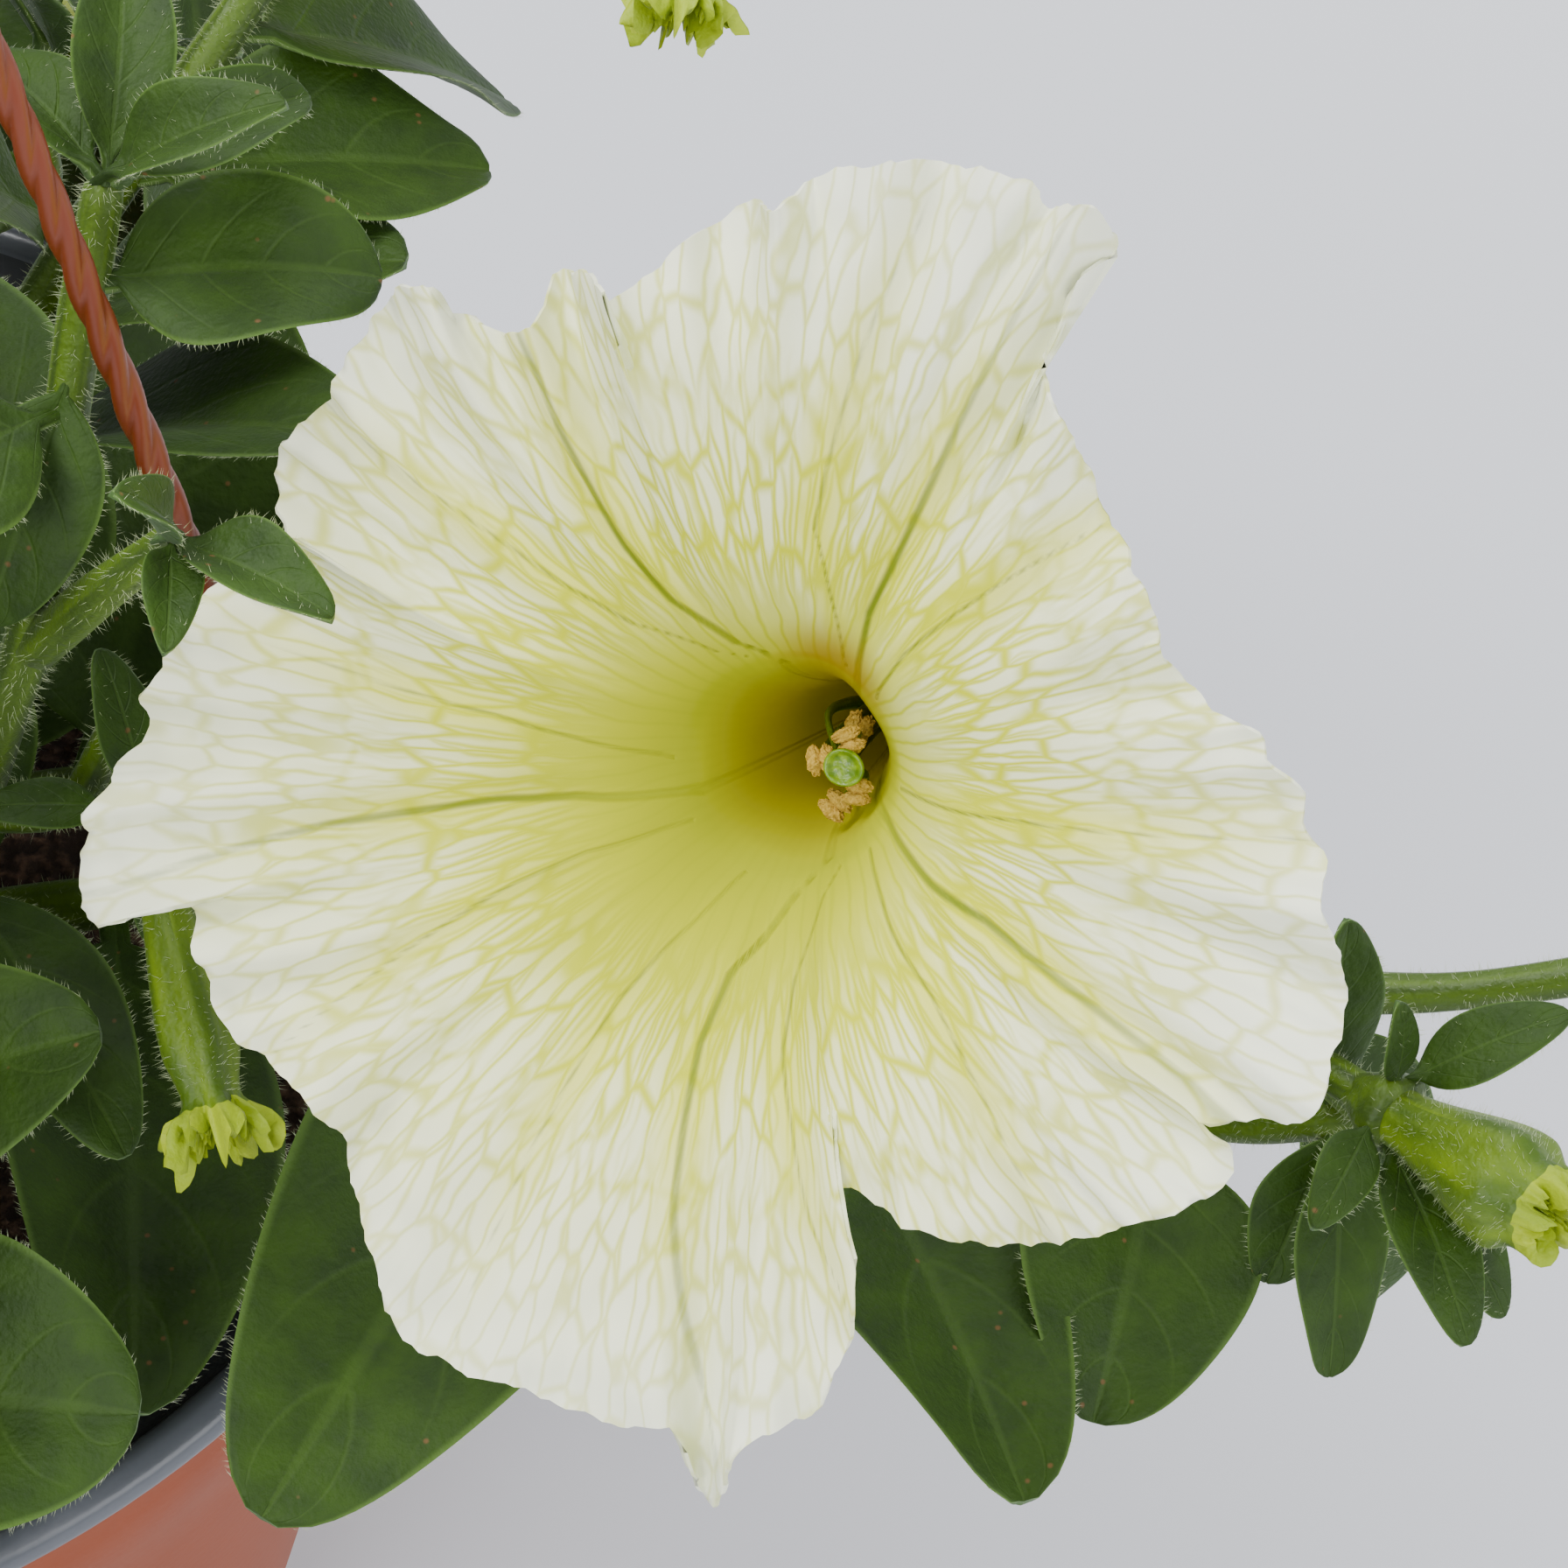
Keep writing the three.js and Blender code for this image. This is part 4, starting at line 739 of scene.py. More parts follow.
@dataclass
class PlantPlan:
    """Grows every shoot in the order that the part's source does, so each leaf lies where its solid does."""

    taken: TakenSpace = field(default_factory=TakenSpace)
    shoots: list[GrownShoot] = field(default_factory=list)

    def grow(self) -> list[GrownShoot]:
        """Returns the shoots with their stalks, sepals and leaves in place.

        Returns:
            The shoots in the order of their plans.
        """
        self.shoots = [GrownShoot(k, plan, seeded(1000 + k)) for k, plan in enumerate(SHOOTS)]
        self.keep_clear_of_blooms_and_hanger()
        for shoot in self.shoots:
            self.grow_stalks(shoot)
        for shoot in self.shoots:
            for t, *tip, width, bend in shoot.plan.placed:
                self.add_leaf(shoot, leaf_to_tip(shoot.curve.at(t), vec(*tip), width, bend, 6 * next(shoot.random)))
        for shoot in self.shoots:
            self.grow_tip(shoot, shoot.curve, shoot.plan.tip, 15)
            if shoot.branch:
                self.grow_tip(shoot, shoot.branch, shoot.plan.branch_tip, shoot.plan.branch_length)
        for turn in range(max(plan.rule[0] for plan in SHOOTS)):
            for shoot in self.shoots:
                if turn < shoot.plan.rule[0]:
                    self.grow_leaf(shoot, turn)
        return self.shoots

    def keep_clear_of_blooms_and_hanger(self) -> None:
        """Takes the space of the blooms, their tubes and the strands."""
        depth = np.arange(0, TUBE_LENGTH + 1, 3)
        radius = TUBE_BASE_RADIUS + (THROAT_RADIUS - TUBE_BASE_RADIUS) * (1 - depth / TUBE_LENGTH)
        for bloom in BLOOMS:
            self.taken.take(bloom.plan_points(), BLOOM_REACH)
            self.taken.take(bloom.throat - depth[:, None] * bloom.axis, radius + 1)
        z = np.arange(104, 240, 2.5)
        share = (z - HANGER.foot_height) / (HANGER.hub_height - HANGER.foot_height)
        reach = HANGER.foot + (HANGER.hub_circle - HANGER.foot) * share
        for bearing in HANGER.bearings:
            turn = radians(bearing)
            points = np.stack([reach * cos(turn), reach * sin(turn), z], axis=1)
            self.taken.take(points, np.where(z < 116, 6, 2.6))

    def take_line(self, curve: SmoothCurve, radii: tuple[float, float], owner: int) -> None:
        """Takes a stem's space at steps of about 2.5 mm."""
        share = np.linspace(0, 1, int(np.ceil(curve.length() / 2.5)) + 1)
        self.taken.take(curve.at(share), radii[0] + (radii[1] - radii[0]) * share + STEM_REACH, owner, stem=True)

    def grow_stalks(self, shoot: GrownShoot) -> None:
        """Adds a shoot's stalks, sepals and buds, and takes their space.

        Args:
            shoot: the shoot, which gets its stalks here.
        """
        plan, curve, number = shoot.plan, shoot.curve, shoot.number
        self.take_line(curve, STEM_RADII, number)
        shoot.stalks = [Stalk(curve.at(bud.t), bud.via, bud.end, bud.axis, 20, bud.sepal, bud.spread, bud)
                        for bud in plan.buds]
        if plan.bloom is not None:
            bloom = BLOOMS[plan.bloom]
            shoot.stalks.append(Stalk(curve.at(plan.bloom_from), plan.bloom_via,
                                      bloom.throat - (TUBE_LENGTH + GAP) * bloom.axis, bloom.axis, 0, 12, 48))
        for stalk in shoot.stalks:
            self.take_line(SmoothCurve(stalk.points()), STALK_RADII, number)
            for sepal in stalk.sepals():
                self.add_leaf(shoot, sepal)
            if stalk.bud:
                share = np.arange(7)[:, None] / 6
                self.taken.take(stalk.end + stalk.bud.axis * stalk.bud.length * share, stalk.bud.girth + 1,
                                number, stem=True)
        if shoot.branch:
            self.take_line(shoot.branch, BRANCH_RADII, number)

    def add_leaf(self, shoot: GrownShoot, leaf: Leaf) -> None:
        """Adds a leaf to a shoot and takes its space."""
        shoot.leaves.append(leaf)
        self.taken.take(leaf.samples()[1], LEAF_REACH, shoot.number)

    def grow_tip(self, shoot: GrownShoot, curve: SmoothCurve, count: int, length: float) -> None:
        """Crowds young leaves round the end of a centre line, where they find room.

        Args:
            shoot: the shoot that carries them.
            curve: the centre line.
            count: the number of leaves tried.
            length: the usual length of a leaf.
        """
        tangent = curve.tangents(1)
        base = curve.at(1) - 0.8 * tangent
        for k in range(count):
            bend = 0.1 + 0.9 * next(shoot.random)
            phase = 6 * next(shoot.random)
            size = length * (0.8 + 0.35 * next(shoot.random))
            bearing = k * (360 / count) + 20 * next(shoot.random)
            leaf = leaf_on_stem(base, tangent, bearing, 62 if k % 2 else 34, size, slim=0.5, bend=bend, fold=0.6,
                                phase=phase, growth=Growth.YOUNG)
            if self.taken.free_for(leaf, shoot.number, young=True):
                self.add_leaf(shoot, leaf)

    def grow_leaf(self, shoot: GrownShoot, turn: int) -> None:
        """Adds the next leaf by rule, at the first bearing and size that are clear of everything.

        Args:
            shoot: the shoot that carries it.
            turn: the leaf's place in the rule's count.
        """
        count, start, end, length = shoot.plan.rule
        draw = [next(shoot.random) for _ in range(7)]
        t = start + (end - start) * (turn + 0.3 * draw[0]) / count
        shape = {"slim": 0.53 + 0.08 * draw[1], "bend": 0.5 + 0.5 * draw[2], "fold": 0.2 + 0.2 * draw[3],
                 "phase": 6 * draw[4]}
        full = LEAF_GROWTH * length * (1.12 - 0.32 * t) * (0.9 + 0.2 * draw[5])
        spread = 55 + 15 * draw[6]
        base, tangent = shoot.curve.at(t), shoot.curve.tangents(t)
        for size in PLACE_SIZES:
            for step in PLACE_TURNS:
                leaf = leaf_on_stem(base, tangent, turn * GOLDEN_TURN + step, spread, full * size, **shape)
                if self.taken.free_for(leaf, shoot.number):
                    self.add_leaf(shoot, leaf)
                    return


# Meshes


class Face(Enum):
    """Finish of a patch of a mesh; each mesh keeps its own list of the finishes that it uses."""

    LEAF = "leaf"
    LEAF_BACK = "leaf underside"
    STEM = "stem"
    BUD = "bud"
    CROWN = "bud crown"
    HAIR = "hair"
    PETAL = "petal"
    PETAL_BACK = "petal underside"
    POLLEN = "pollen"
    PISTIL = "pistil"
    WALL = "pot wall"
    LIP = "pot lip"
    # Inside the pot: the lip's grey plastic, darker as painted shade
    INSIDE = "pot inside"
    SOIL = "soil"
    CRUMB = "soil crumb"
    TWIST = "twisted strand"
    MOULDED = "moulded hanger"


@dataclass
class Shell:
    """Closed skins gathered into one mesh: corners with their place on the surface, and a finish for each face."""

    name: str
    parts: list[tuple[Array, ...]] = field(default_factory=list)
    finishes: list[Face] = field(default_factory=list)
    count: int = 0

    def finish_index(self, finish: Face) -> int:
        """Returns the slot of a finish, new if it is the first of its kind."""
        if finish not in self.finishes:
            self.finishes.append(finish)
        return self.finishes.index(finish)

    def add(self, points: Array, polygons: Array, places: Array, finish: Array,
            marks: Optional[Array] = None) -> None:
        """Adds polygons that all have the same number of corners.

        Args:
            points: vertices in millimetres, shape (n, 3).
            polygons: vertex numbers from 0, shape (faces, corners).
            places: a (u, v) for each corner, shape (faces, corners, 2).
            finish: slot number for each face.
            marks: an (x, y, z, w) for each vertex, zero where none is given.
        """
        faces, corners = polygons.shape
        self.parts.append((points * MM, (polygons + self.count).ravel(), places.reshape(-1, 2),
                           np.full(faces, corners), np.broadcast_to(finish, faces),
                           np.zeros((len(points), 4)) if marks is None else marks))
        self.count += len(points)

    def skin(self, rings: Array, finish: Face, round_to: Optional[Array] = None,
             along: Optional[Array] = None, backs: tuple[tuple[Face, Array], ...] = (),
             marks: Optional[Array] = None) -> None:
        """Adds a closed skin through rings of points, with a fan at each end.

        Each quad joins the points j and j + 1 of rings i and i + 1. A negative volume, the sum of the corner
        products of its triangles, turns every face round.

        Args:
            rings: an array of shape (rings, points, 3).
            finish: finish of the faces.
            round_to: u at each point of a ring and at its closing point, by default 0 to 1.
            along: v at each ring, by default 0 to 1.
            backs: other finishes and where each holds, as a mask over a ring's faces or over all quads.
            marks: an (x, y, z, w) for each point, shape (rings, points, 4).
        """
        m, n, _ = rings.shape
        middles = rings[[0, -1]].mean(axis=1)
        points = np.vstack([rings.reshape(-1, 3), middles])
        i, j = np.meshgrid(np.arange(m - 1), np.arange(n), indexing="ij")
        after = (j + 1) % n
        quads = np.stack([i * n + j, i * n + after, (i + 1) * n + after, (i + 1) * n + j], axis=-1).reshape(-1, 4)
        u = np.linspace(0, 1, n + 1) if round_to is None else round_to
        v = np.linspace(0, 1, m) if along is None else along
        corners = [np.stack([u[j + right], v[i + up]], -1) for right, up in ((0, 0), (1, 0), (1, 1), (0, 1))]
        quad_places = np.stack(corners, axis=2).reshape(-1, 4, 2)
        ring, ahead = np.arange(n), after[0]
        start = np.stack([np.full(n, m * n), ahead, ring], axis=1)
        end = np.stack([np.full(n, m * n + 1), (m - 1) * n + ring, (m - 1) * n + ahead], axis=1)
        fans = np.vstack([start, end])
        fan_u = np.stack([u[ring], u[ring + 1], u[ring]], axis=1)
        fan_v = np.repeat(np.array([v[0], v[-1]]), n)[:, None] * np.ones(3)
        fan_places = np.stack([np.vstack([fan_u, fan_u]), fan_v], axis=2)
        if self.volume(points, quads, fans) < 0:
            quads, quad_places = quads[:, ::-1], quad_places[:, ::-1]
            fans, fan_places = fans[:, ::-1], fan_places[:, ::-1]
        slot = np.full(len(quads), self.finish_index(finish))
        for other, mask in backs:
            slot = np.where(np.broadcast_to(mask, (m - 1, n)).ravel(), self.finish_index(other), slot)
        if marks is not None:
            marks = np.vstack([marks.reshape(-1, 4), marks[[0, -1]].mean(axis=1)])
        self.add(points, quads, quad_places, slot, marks)
        self.add(np.zeros((0, 3)), fans - len(points), fan_places, np.concatenate([slot[:n], slot[-n:]]))

    @staticmethod
    def volume(points: Array, quads: Array, fans: Array) -> float:
        """Returns the volume inside quads and triangles, negative where they face inwards.

        Args:
            points: the points.
            quads: four indices a row.
            fans: three indices a row.

        Returns:
            Six times the volume.
        """
        triangles = np.vstack([quads[:, [0, 1, 2]], quads[:, [0, 2, 3]], fans])
        a, b, c = (points[triangles[:, k]] - points[0] for k in range(3))
        return float(np.einsum("ij,ij->i", a, np.cross(b, c)).sum())

    def spikes(self, bases: Array, ways: Array, lengths: Array, width: float) -> None:
        """Adds hairs: thin closed pyramids on three-cornered feet.

        Each foot's corners lie a third of a turn apart round the hair's direction, sunk a little in the surface.

        Args:
            bases: foot of each hair.
            ways: unit direction of each hair.
            lengths: its length.
            width: distance of a foot's corner from its middle.
        """
        if not len(bases):
            return
        side = square_to(np.where(np.abs(ways[:, 2:3]) > 0.8, vec(1, 0, 0), UP), ways)
        top = np.cross(ways, side)
        turns = np.radians([0, 120, 240])
        feet = [bases - 0.1 * ways + width * (side * cos(t) + top * sin(t)) for t in turns]
        points = np.stack([*feet, bases + ways * lengths[:, None]], axis=1).reshape(-1, 3)
        pattern = np.array([[0, 2, 1], [0, 1, 3], [1, 2, 3], [2, 0, 3]])
        self.add_copies(points, pattern, len(bases), Face.HAIR)

    def add_copies(self, points: Array, pattern: Array, count: int, finish: Face) -> None:
        """Adds copies of one small triangulated shape.

        Args:
            points: the points of all copies, one copy after the other.
            pattern: vertex numbers of the triangles of one copy.
            count: number of copies.
            finish: their finish.
        """
        each = len(points) // count
        polygons = (np.arange(count)[:, None, None] * each + pattern).reshape(-1, 3)
        slots = np.full(len(polygons), self.finish_index(finish))
        self.add(points, polygons, np.zeros((len(polygons), 3, 2)), slots)

    def build(self, finishes: dict[Face, Material], crease: float = 60.0) -> Object:
        """Makes the Blender object, at the origin, with its places as a UV map and its marks as an attribute.

        Args:
            finishes: material for each finish.
            crease: edges that turn by more degrees than this stay sharp.

        Returns:
            The object, linked to the scene.
        """
        mesh = bpy.data.meshes.new(self.name)
        points, corners, places, sizes, faces, marks = (np.concatenate(group) for group in zip(*self.parts))
        for items, count in ((mesh.vertices, len(points)), (mesh.loops, len(corners)), (mesh.polygons, len(sizes))):
            items.add(count)
        mesh.vertices.foreach_set("co", points.astype(np.float32).ravel())
        mesh.loops.foreach_set("vertex_index", corners.astype(np.int32))
        mesh.polygons.foreach_set("loop_start", (np.cumsum(sizes) - sizes).astype(np.int32))
        mesh.polygons.foreach_set("material_index", faces.astype(np.int32))
        mesh.polygons.foreach_set("use_smooth", np.ones(len(sizes), dtype=bool))
        mesh.update(calc_edges=True)
        mesh.uv_layers.new(name="place").data.foreach_set("uv", places.astype(np.float32).ravel())
        if marks.any():
            for name, kind, field_name, columns in (("vein_place", "FLOAT_VECTOR", "vector", marks[:, :3]),
                                                    ("rib", "FLOAT", "value", marks[:, 3])):
                attribute = mesh.attributes.new(name, kind, "POINT")
                attribute.data.foreach_set(field_name, columns.astype(np.float32).ravel())
        mesh.validate()
        mesh.set_sharp_from_angle(angle=radians(crease))
        for finish in self.finishes:
            mesh.materials.append(finishes[finish])
        piece = bpy.data.objects.new(self.name, mesh)
        bpy.context.scene.collection.objects.link(piece)
        log.info("%s: %d triangles", self.name, int(np.sum(sizes - 2)))
        return piece


def tube(curve: SmoothCurve, steps: int, sides: int, radius: Callable[[Array, Array], Array],
         twist: float = 0.0) -> Array:
    """Carries a round profile along a curve.

    Each ring is square to the curve. Its point at angle a lies at radius(t, a) from the centre, turned on by
    twist radians from the curve's start to its end. The first ring's zero direction is carried from ring to ring
    by taking out its part along each new tangent.

    Args:
        curve: the centre line.
        steps: number of spans along it.
        sides: number of points round it.
        radius: gives radii from t and the angle, as arrays.
        twist: turn of the profile from start to end.

    Returns:
        Rings of points, shape (steps + 1, sides, 3).
    """
    t = np.linspace(0, 1, steps + 1)
    centres, ways = curve.at(t), curve.tangents(t)
    side = square_to(vec(1, 0, 0) if abs(ways[0][2]) > 0.9 else UP, ways[0])
    carried = []
    for way in ways:
        side = square_to(side, way)
        carried.append(side)
    sides_at = np.array(carried)[:, None]
    tops_at = np.cross(ways, sides_at[:, 0])[:, None]
    angle = even_angles(sides)[None, :]
    size = radius(t[:, None], angle)[..., None]
    turned = (angle + twist * t[:, None])[..., None]
    return centres[:, None] + size * (np.cos(turned) * sides_at + np.sin(turned) * tops_at)


def rounded_ends(t: Array, length: float, radius: float) -> Array:
    """Returns a factor that closes a tube's ends in half circles: the root of 1 less the square of the way in."""
    near = np.clip(np.minimum(t, 1 - t) * length / radius, 0.0, 1.0)
    return np.sqrt(np.maximum(1 - (1 - near) ** 2, 0.0))


def turned_profile(profile: Array, sides: int) -> Array:
    """Turns (radius, height) points round the pot's axis into rings, one for each point of the profile.

    Args:
        profile: the points of the profile.
        sides: the number of points of a ring.

    Returns:
        The rings, one row of points for each point of the profile.
    """
    angle = even_angles(sides)
    x = profile[:, :1] * np.cos(angle)
    y = profile[:, :1] * np.sin(angle)
    return np.stack([x, y, np.broadcast_to(profile[:, 1:2], x.shape)], axis=-1)


def ripple(seed: int, *coordinates: Array, octaves: int = 3) -> Array:
    """Gives smooth random heights between about -1 and 1.

    Each octave is a sum of three sines of the coordinates along random directions, at twice the last one's
    frequency and half its height.

    Args:
        seed: picks the directions and phases.
        coordinates: arrays of one shape, in the pattern's own unit.
        octaves: how many sums are added.

    Returns:
        An array of that shape.
    """
    random = np.random.default_rng(seed)
    total = np.zeros(np.broadcast(*coordinates).shape)
    for octave in range(octaves):
        for _ in range(3):
            way = unit(random.normal(size=len(coordinates))) * 2.0**octave
            phase = random.uniform(0, 2 * pi)
            total += np.sin(sum(w * c for w, c in zip(way, coordinates)) * 2 * pi + phase) / 3 / 2.0**octave
    return total


# Finishes


def linear(hex_colour: str) -> tuple[float, float, float, float]:
    """Returns the linear colour of an sRGB hex value."""
    values = [int(hex_colour[k:k + 2], 16) / 255 for k in (1, 3, 5)]
    return (*(v / 12.92 if v <= 0.04045 else ((v + 0.055) / 1.055) ** 2.4 for v in values), 1.0)


def add_node(tree: NodeTree, kind: str, settings: dict, inputs: Union[tuple, dict]) -> Node:
    """Adds a node.

    Args:
        tree: the material's node tree.
        kind: the node's type name, less the start that all share.
        settings: attributes of the node.
        inputs: for its sockets in order, or by name or number: a value, a hex colour, a node or a socket.

    Returns:
        The new node.
    """
    node = tree.nodes.new("ShaderNode" + kind)
    for name, value in settings.items():
        setattr(node, name, value)
    for socket, value in (inputs if isinstance(inputs, dict) else dict(enumerate(inputs))).items():
        if isinstance(value, Node):
            value = value.outputs[0]
        if isinstance(value, NodeSocket):
            tree.links.new(value, node.inputs[socket])
        else:
            node.inputs[socket].default_value = linear(value) if isinstance(value, str) else value
    return node


Adder = Callable[[str, dict, Union[tuple, dict]], Node]
PRODUCT, HIGHEST, SCALED_SUM = ({"operation": name} for name in ("MULTIPLY", "MAXIMUM", "MULTIPLY_ADD"))
SMOOTH = {"interpolation_type": "SMOOTHSTEP"}
TINT = {"data_type": "RGBA", "blend_type": "MIX"}
A, B, RESULT = 6, 7, 2


@dataclass(frozen=True)
class Finish:
    """Finish of one material: its name, colour and typical optical values."""

    name: str
    colour: str
    roughness: float = 0.5
    ior: float = 1.45
    sheen: float = 0.0
    specular: float = 0.5
    scatter: float = 0.0

    def material(self) -> Material:
        """Returns the material, its constants on the shader's own sockets.

        Returns:
            The material with its whole tree.
        """
        material = bpy.data.materials.new(self.name)
        material.use_nodes = True
        tree = material.node_tree
        shader = next(node for node in tree.nodes if node.type == "BSDF_PRINCIPLED")
        constants = {"Base Color": linear(self.colour), "Roughness": self.roughness, "IOR": self.ior,
                     "Sheen Weight": self.sheen, "Specular IOR Level": self.specular}
        if self.scatter:
            constants |= {"Subsurface Weight": self.scatter, "Subsurface Radius": (1.0, 1.0, 0.5),
                          "Subsurface Scale": 0.4 * MM}
        for socket, value in constants.items():
            shader.inputs[socket].default_value = value
        add = partial(add_node, tree)
        colour, height, depth = self.dress(add)
        if colour is not None:
            tree.links.new(colour, shader.inputs["Base Color"])
        if height is not None:
            bump = add("Bump", {}, {"Strength": 1.0, "Distance": depth * MM, "Height": height})
            tree.links.new(bump.outputs[0], shader.inputs["Normal"])
        return material

    def dress(self, add: Adder) -> tuple:
        """Returns sockets for the colour and the height, either of them None, and the relief in millimetres."""
        return None, None, 0.0

    @staticmethod
    def object_place(add: Adder) -> NodeSocket:
        """Returns the object coordinates, in metres."""
        return add("TexCoord", {}, {}).outputs["Object"]


@dataclass(frozen=True)
class LeafSkin(Finish):
    """Soft green leaf: arched side veins, a paler margin of fine hair, mottling and a few brown specks."""

    light: str = "#53702c"
    dark: str = "#132509"
    speck: str = "#6b4a2a"
    vein_pairs: float = 5.0
    mottle_mm: float = 3.0
    speck_mm: float = 2.6

    def dress(self, add: Adder) -> tuple:
        """Veins: the distance of 5 s - 1.6 a^1.4 from a whole number, with a the share of the way to the margin.

        Args:
            add: adds a node to the tree.

        Returns:
            Sockets for the colour and the height, and the relief in millimetres.
        """
        place = add("UVMap", {"uv_map": "place"}, {})
        uv = add("SeparateXYZ", {}, (place,))
        across = add("Math", SCALED_SUM, (uv.outputs[0], 2.0, -1.0))
        across = add("Math", {"operation": "ABSOLUTE"}, (across,))
        curved = add("Math", {"operation": "POWER"}, (across, 1.4))
        curved = add("Math", PRODUCT, (curved, -1.6))
        phase = add("Math", SCALED_SUM, (uv.outputs[1], self.vein_pairs, curved))
        for operation in ("FRACT", "SUBTRACT", "ABSOLUTE"):
            phase = add("Math", {"operation": operation}, (phase, 0.5))
        side = add("MapRange", SMOOTH, (phase, 0.43, 0.5, 0.0, 0.8))
        fading = add("MapRange", {}, (across, 0.5, 0.95, 1.0, 0.0))
        side = add("Math", PRODUCT, (side, fading))
        middle = add("MapRange", SMOOTH, (across, 0.02, 0.09, 1.0, 0.0))
        veins = add("Math", HIGHEST, (side, middle))
        place = self.object_place(add)
        mottle, grain = (add("TexNoise", {}, {"Vector": place, "Scale": 1 / (size * MM), "Detail": detail})
                         for size, detail in ((self.mottle_mm, 3.0), (0.5, 2.0)))
        mottle = add("MapRange", {}, (mottle, 0.3, 0.75, 0.0, 0.65))
        pale = add("Math", PRODUCT, (veins, 0.15))
        margin = add("MapRange", SMOOTH, (across, 0.92, 1.0, 0.0, 0.6))
        dots = add("TexVoronoi", {"feature": "F1"}, {"Vector": place, "Scale": 1 / (self.speck_mm * MM)})
        dots = add("MapRange", {}, (dots.outputs["Distance"], 0.04, 0.09, 0.7, 0.0))
        colour = self.colour
        for share, tint in ((mottle, self.dark), (pale, self.light), (margin, self.light), (dots, self.speck)):
            colour = add("Mix", TINT, {0: share, A: colour, B: tint}).outputs[RESULT]
        sunk = add("Math", SCALED_SUM, (veins, -0.45, grain))
        return colour, sunk.outputs[0], 0.12


@dataclass(frozen=True)
class SoftStem(Finish):
    """Pale green, slightly juicy stem or bud: lengthwise streaks and a fine grain under its hairs."""

    light: str = "#a9bf6a"
    streaks: float = 5.0

    def dress(self, add: Adder) -> tuple:
        """Streaks: noise drawn out along the piece, on its own places.

        Args:
            add: adds a node to the tree.

        Returns:
            Sockets for the colour and the height, and the relief in millimetres.
        """
        place = add("UVMap", {"uv_map": "place"}, {})
        drawn = add("VectorMath", PRODUCT, (place, (self.streaks, 1.2, 1.0)))
        streak = add("TexNoise", {}, {"Vector": drawn, "Scale": 1.6, "Detail": 2.0})
        grain = add("TexNoise", {}, {"Vector": self.object_place(add), "Scale": 1 / (0.6 * MM), "Detail": 2.0})
        mixed = add("MapRange", {}, (streak, 0.35, 0.7, 0.0, 1.0))
        colour = add("Mix", TINT, {0: mixed, A: self.colour, B: self.light})
        return colour.outputs[RESULT], grain.outputs[0], 0.15


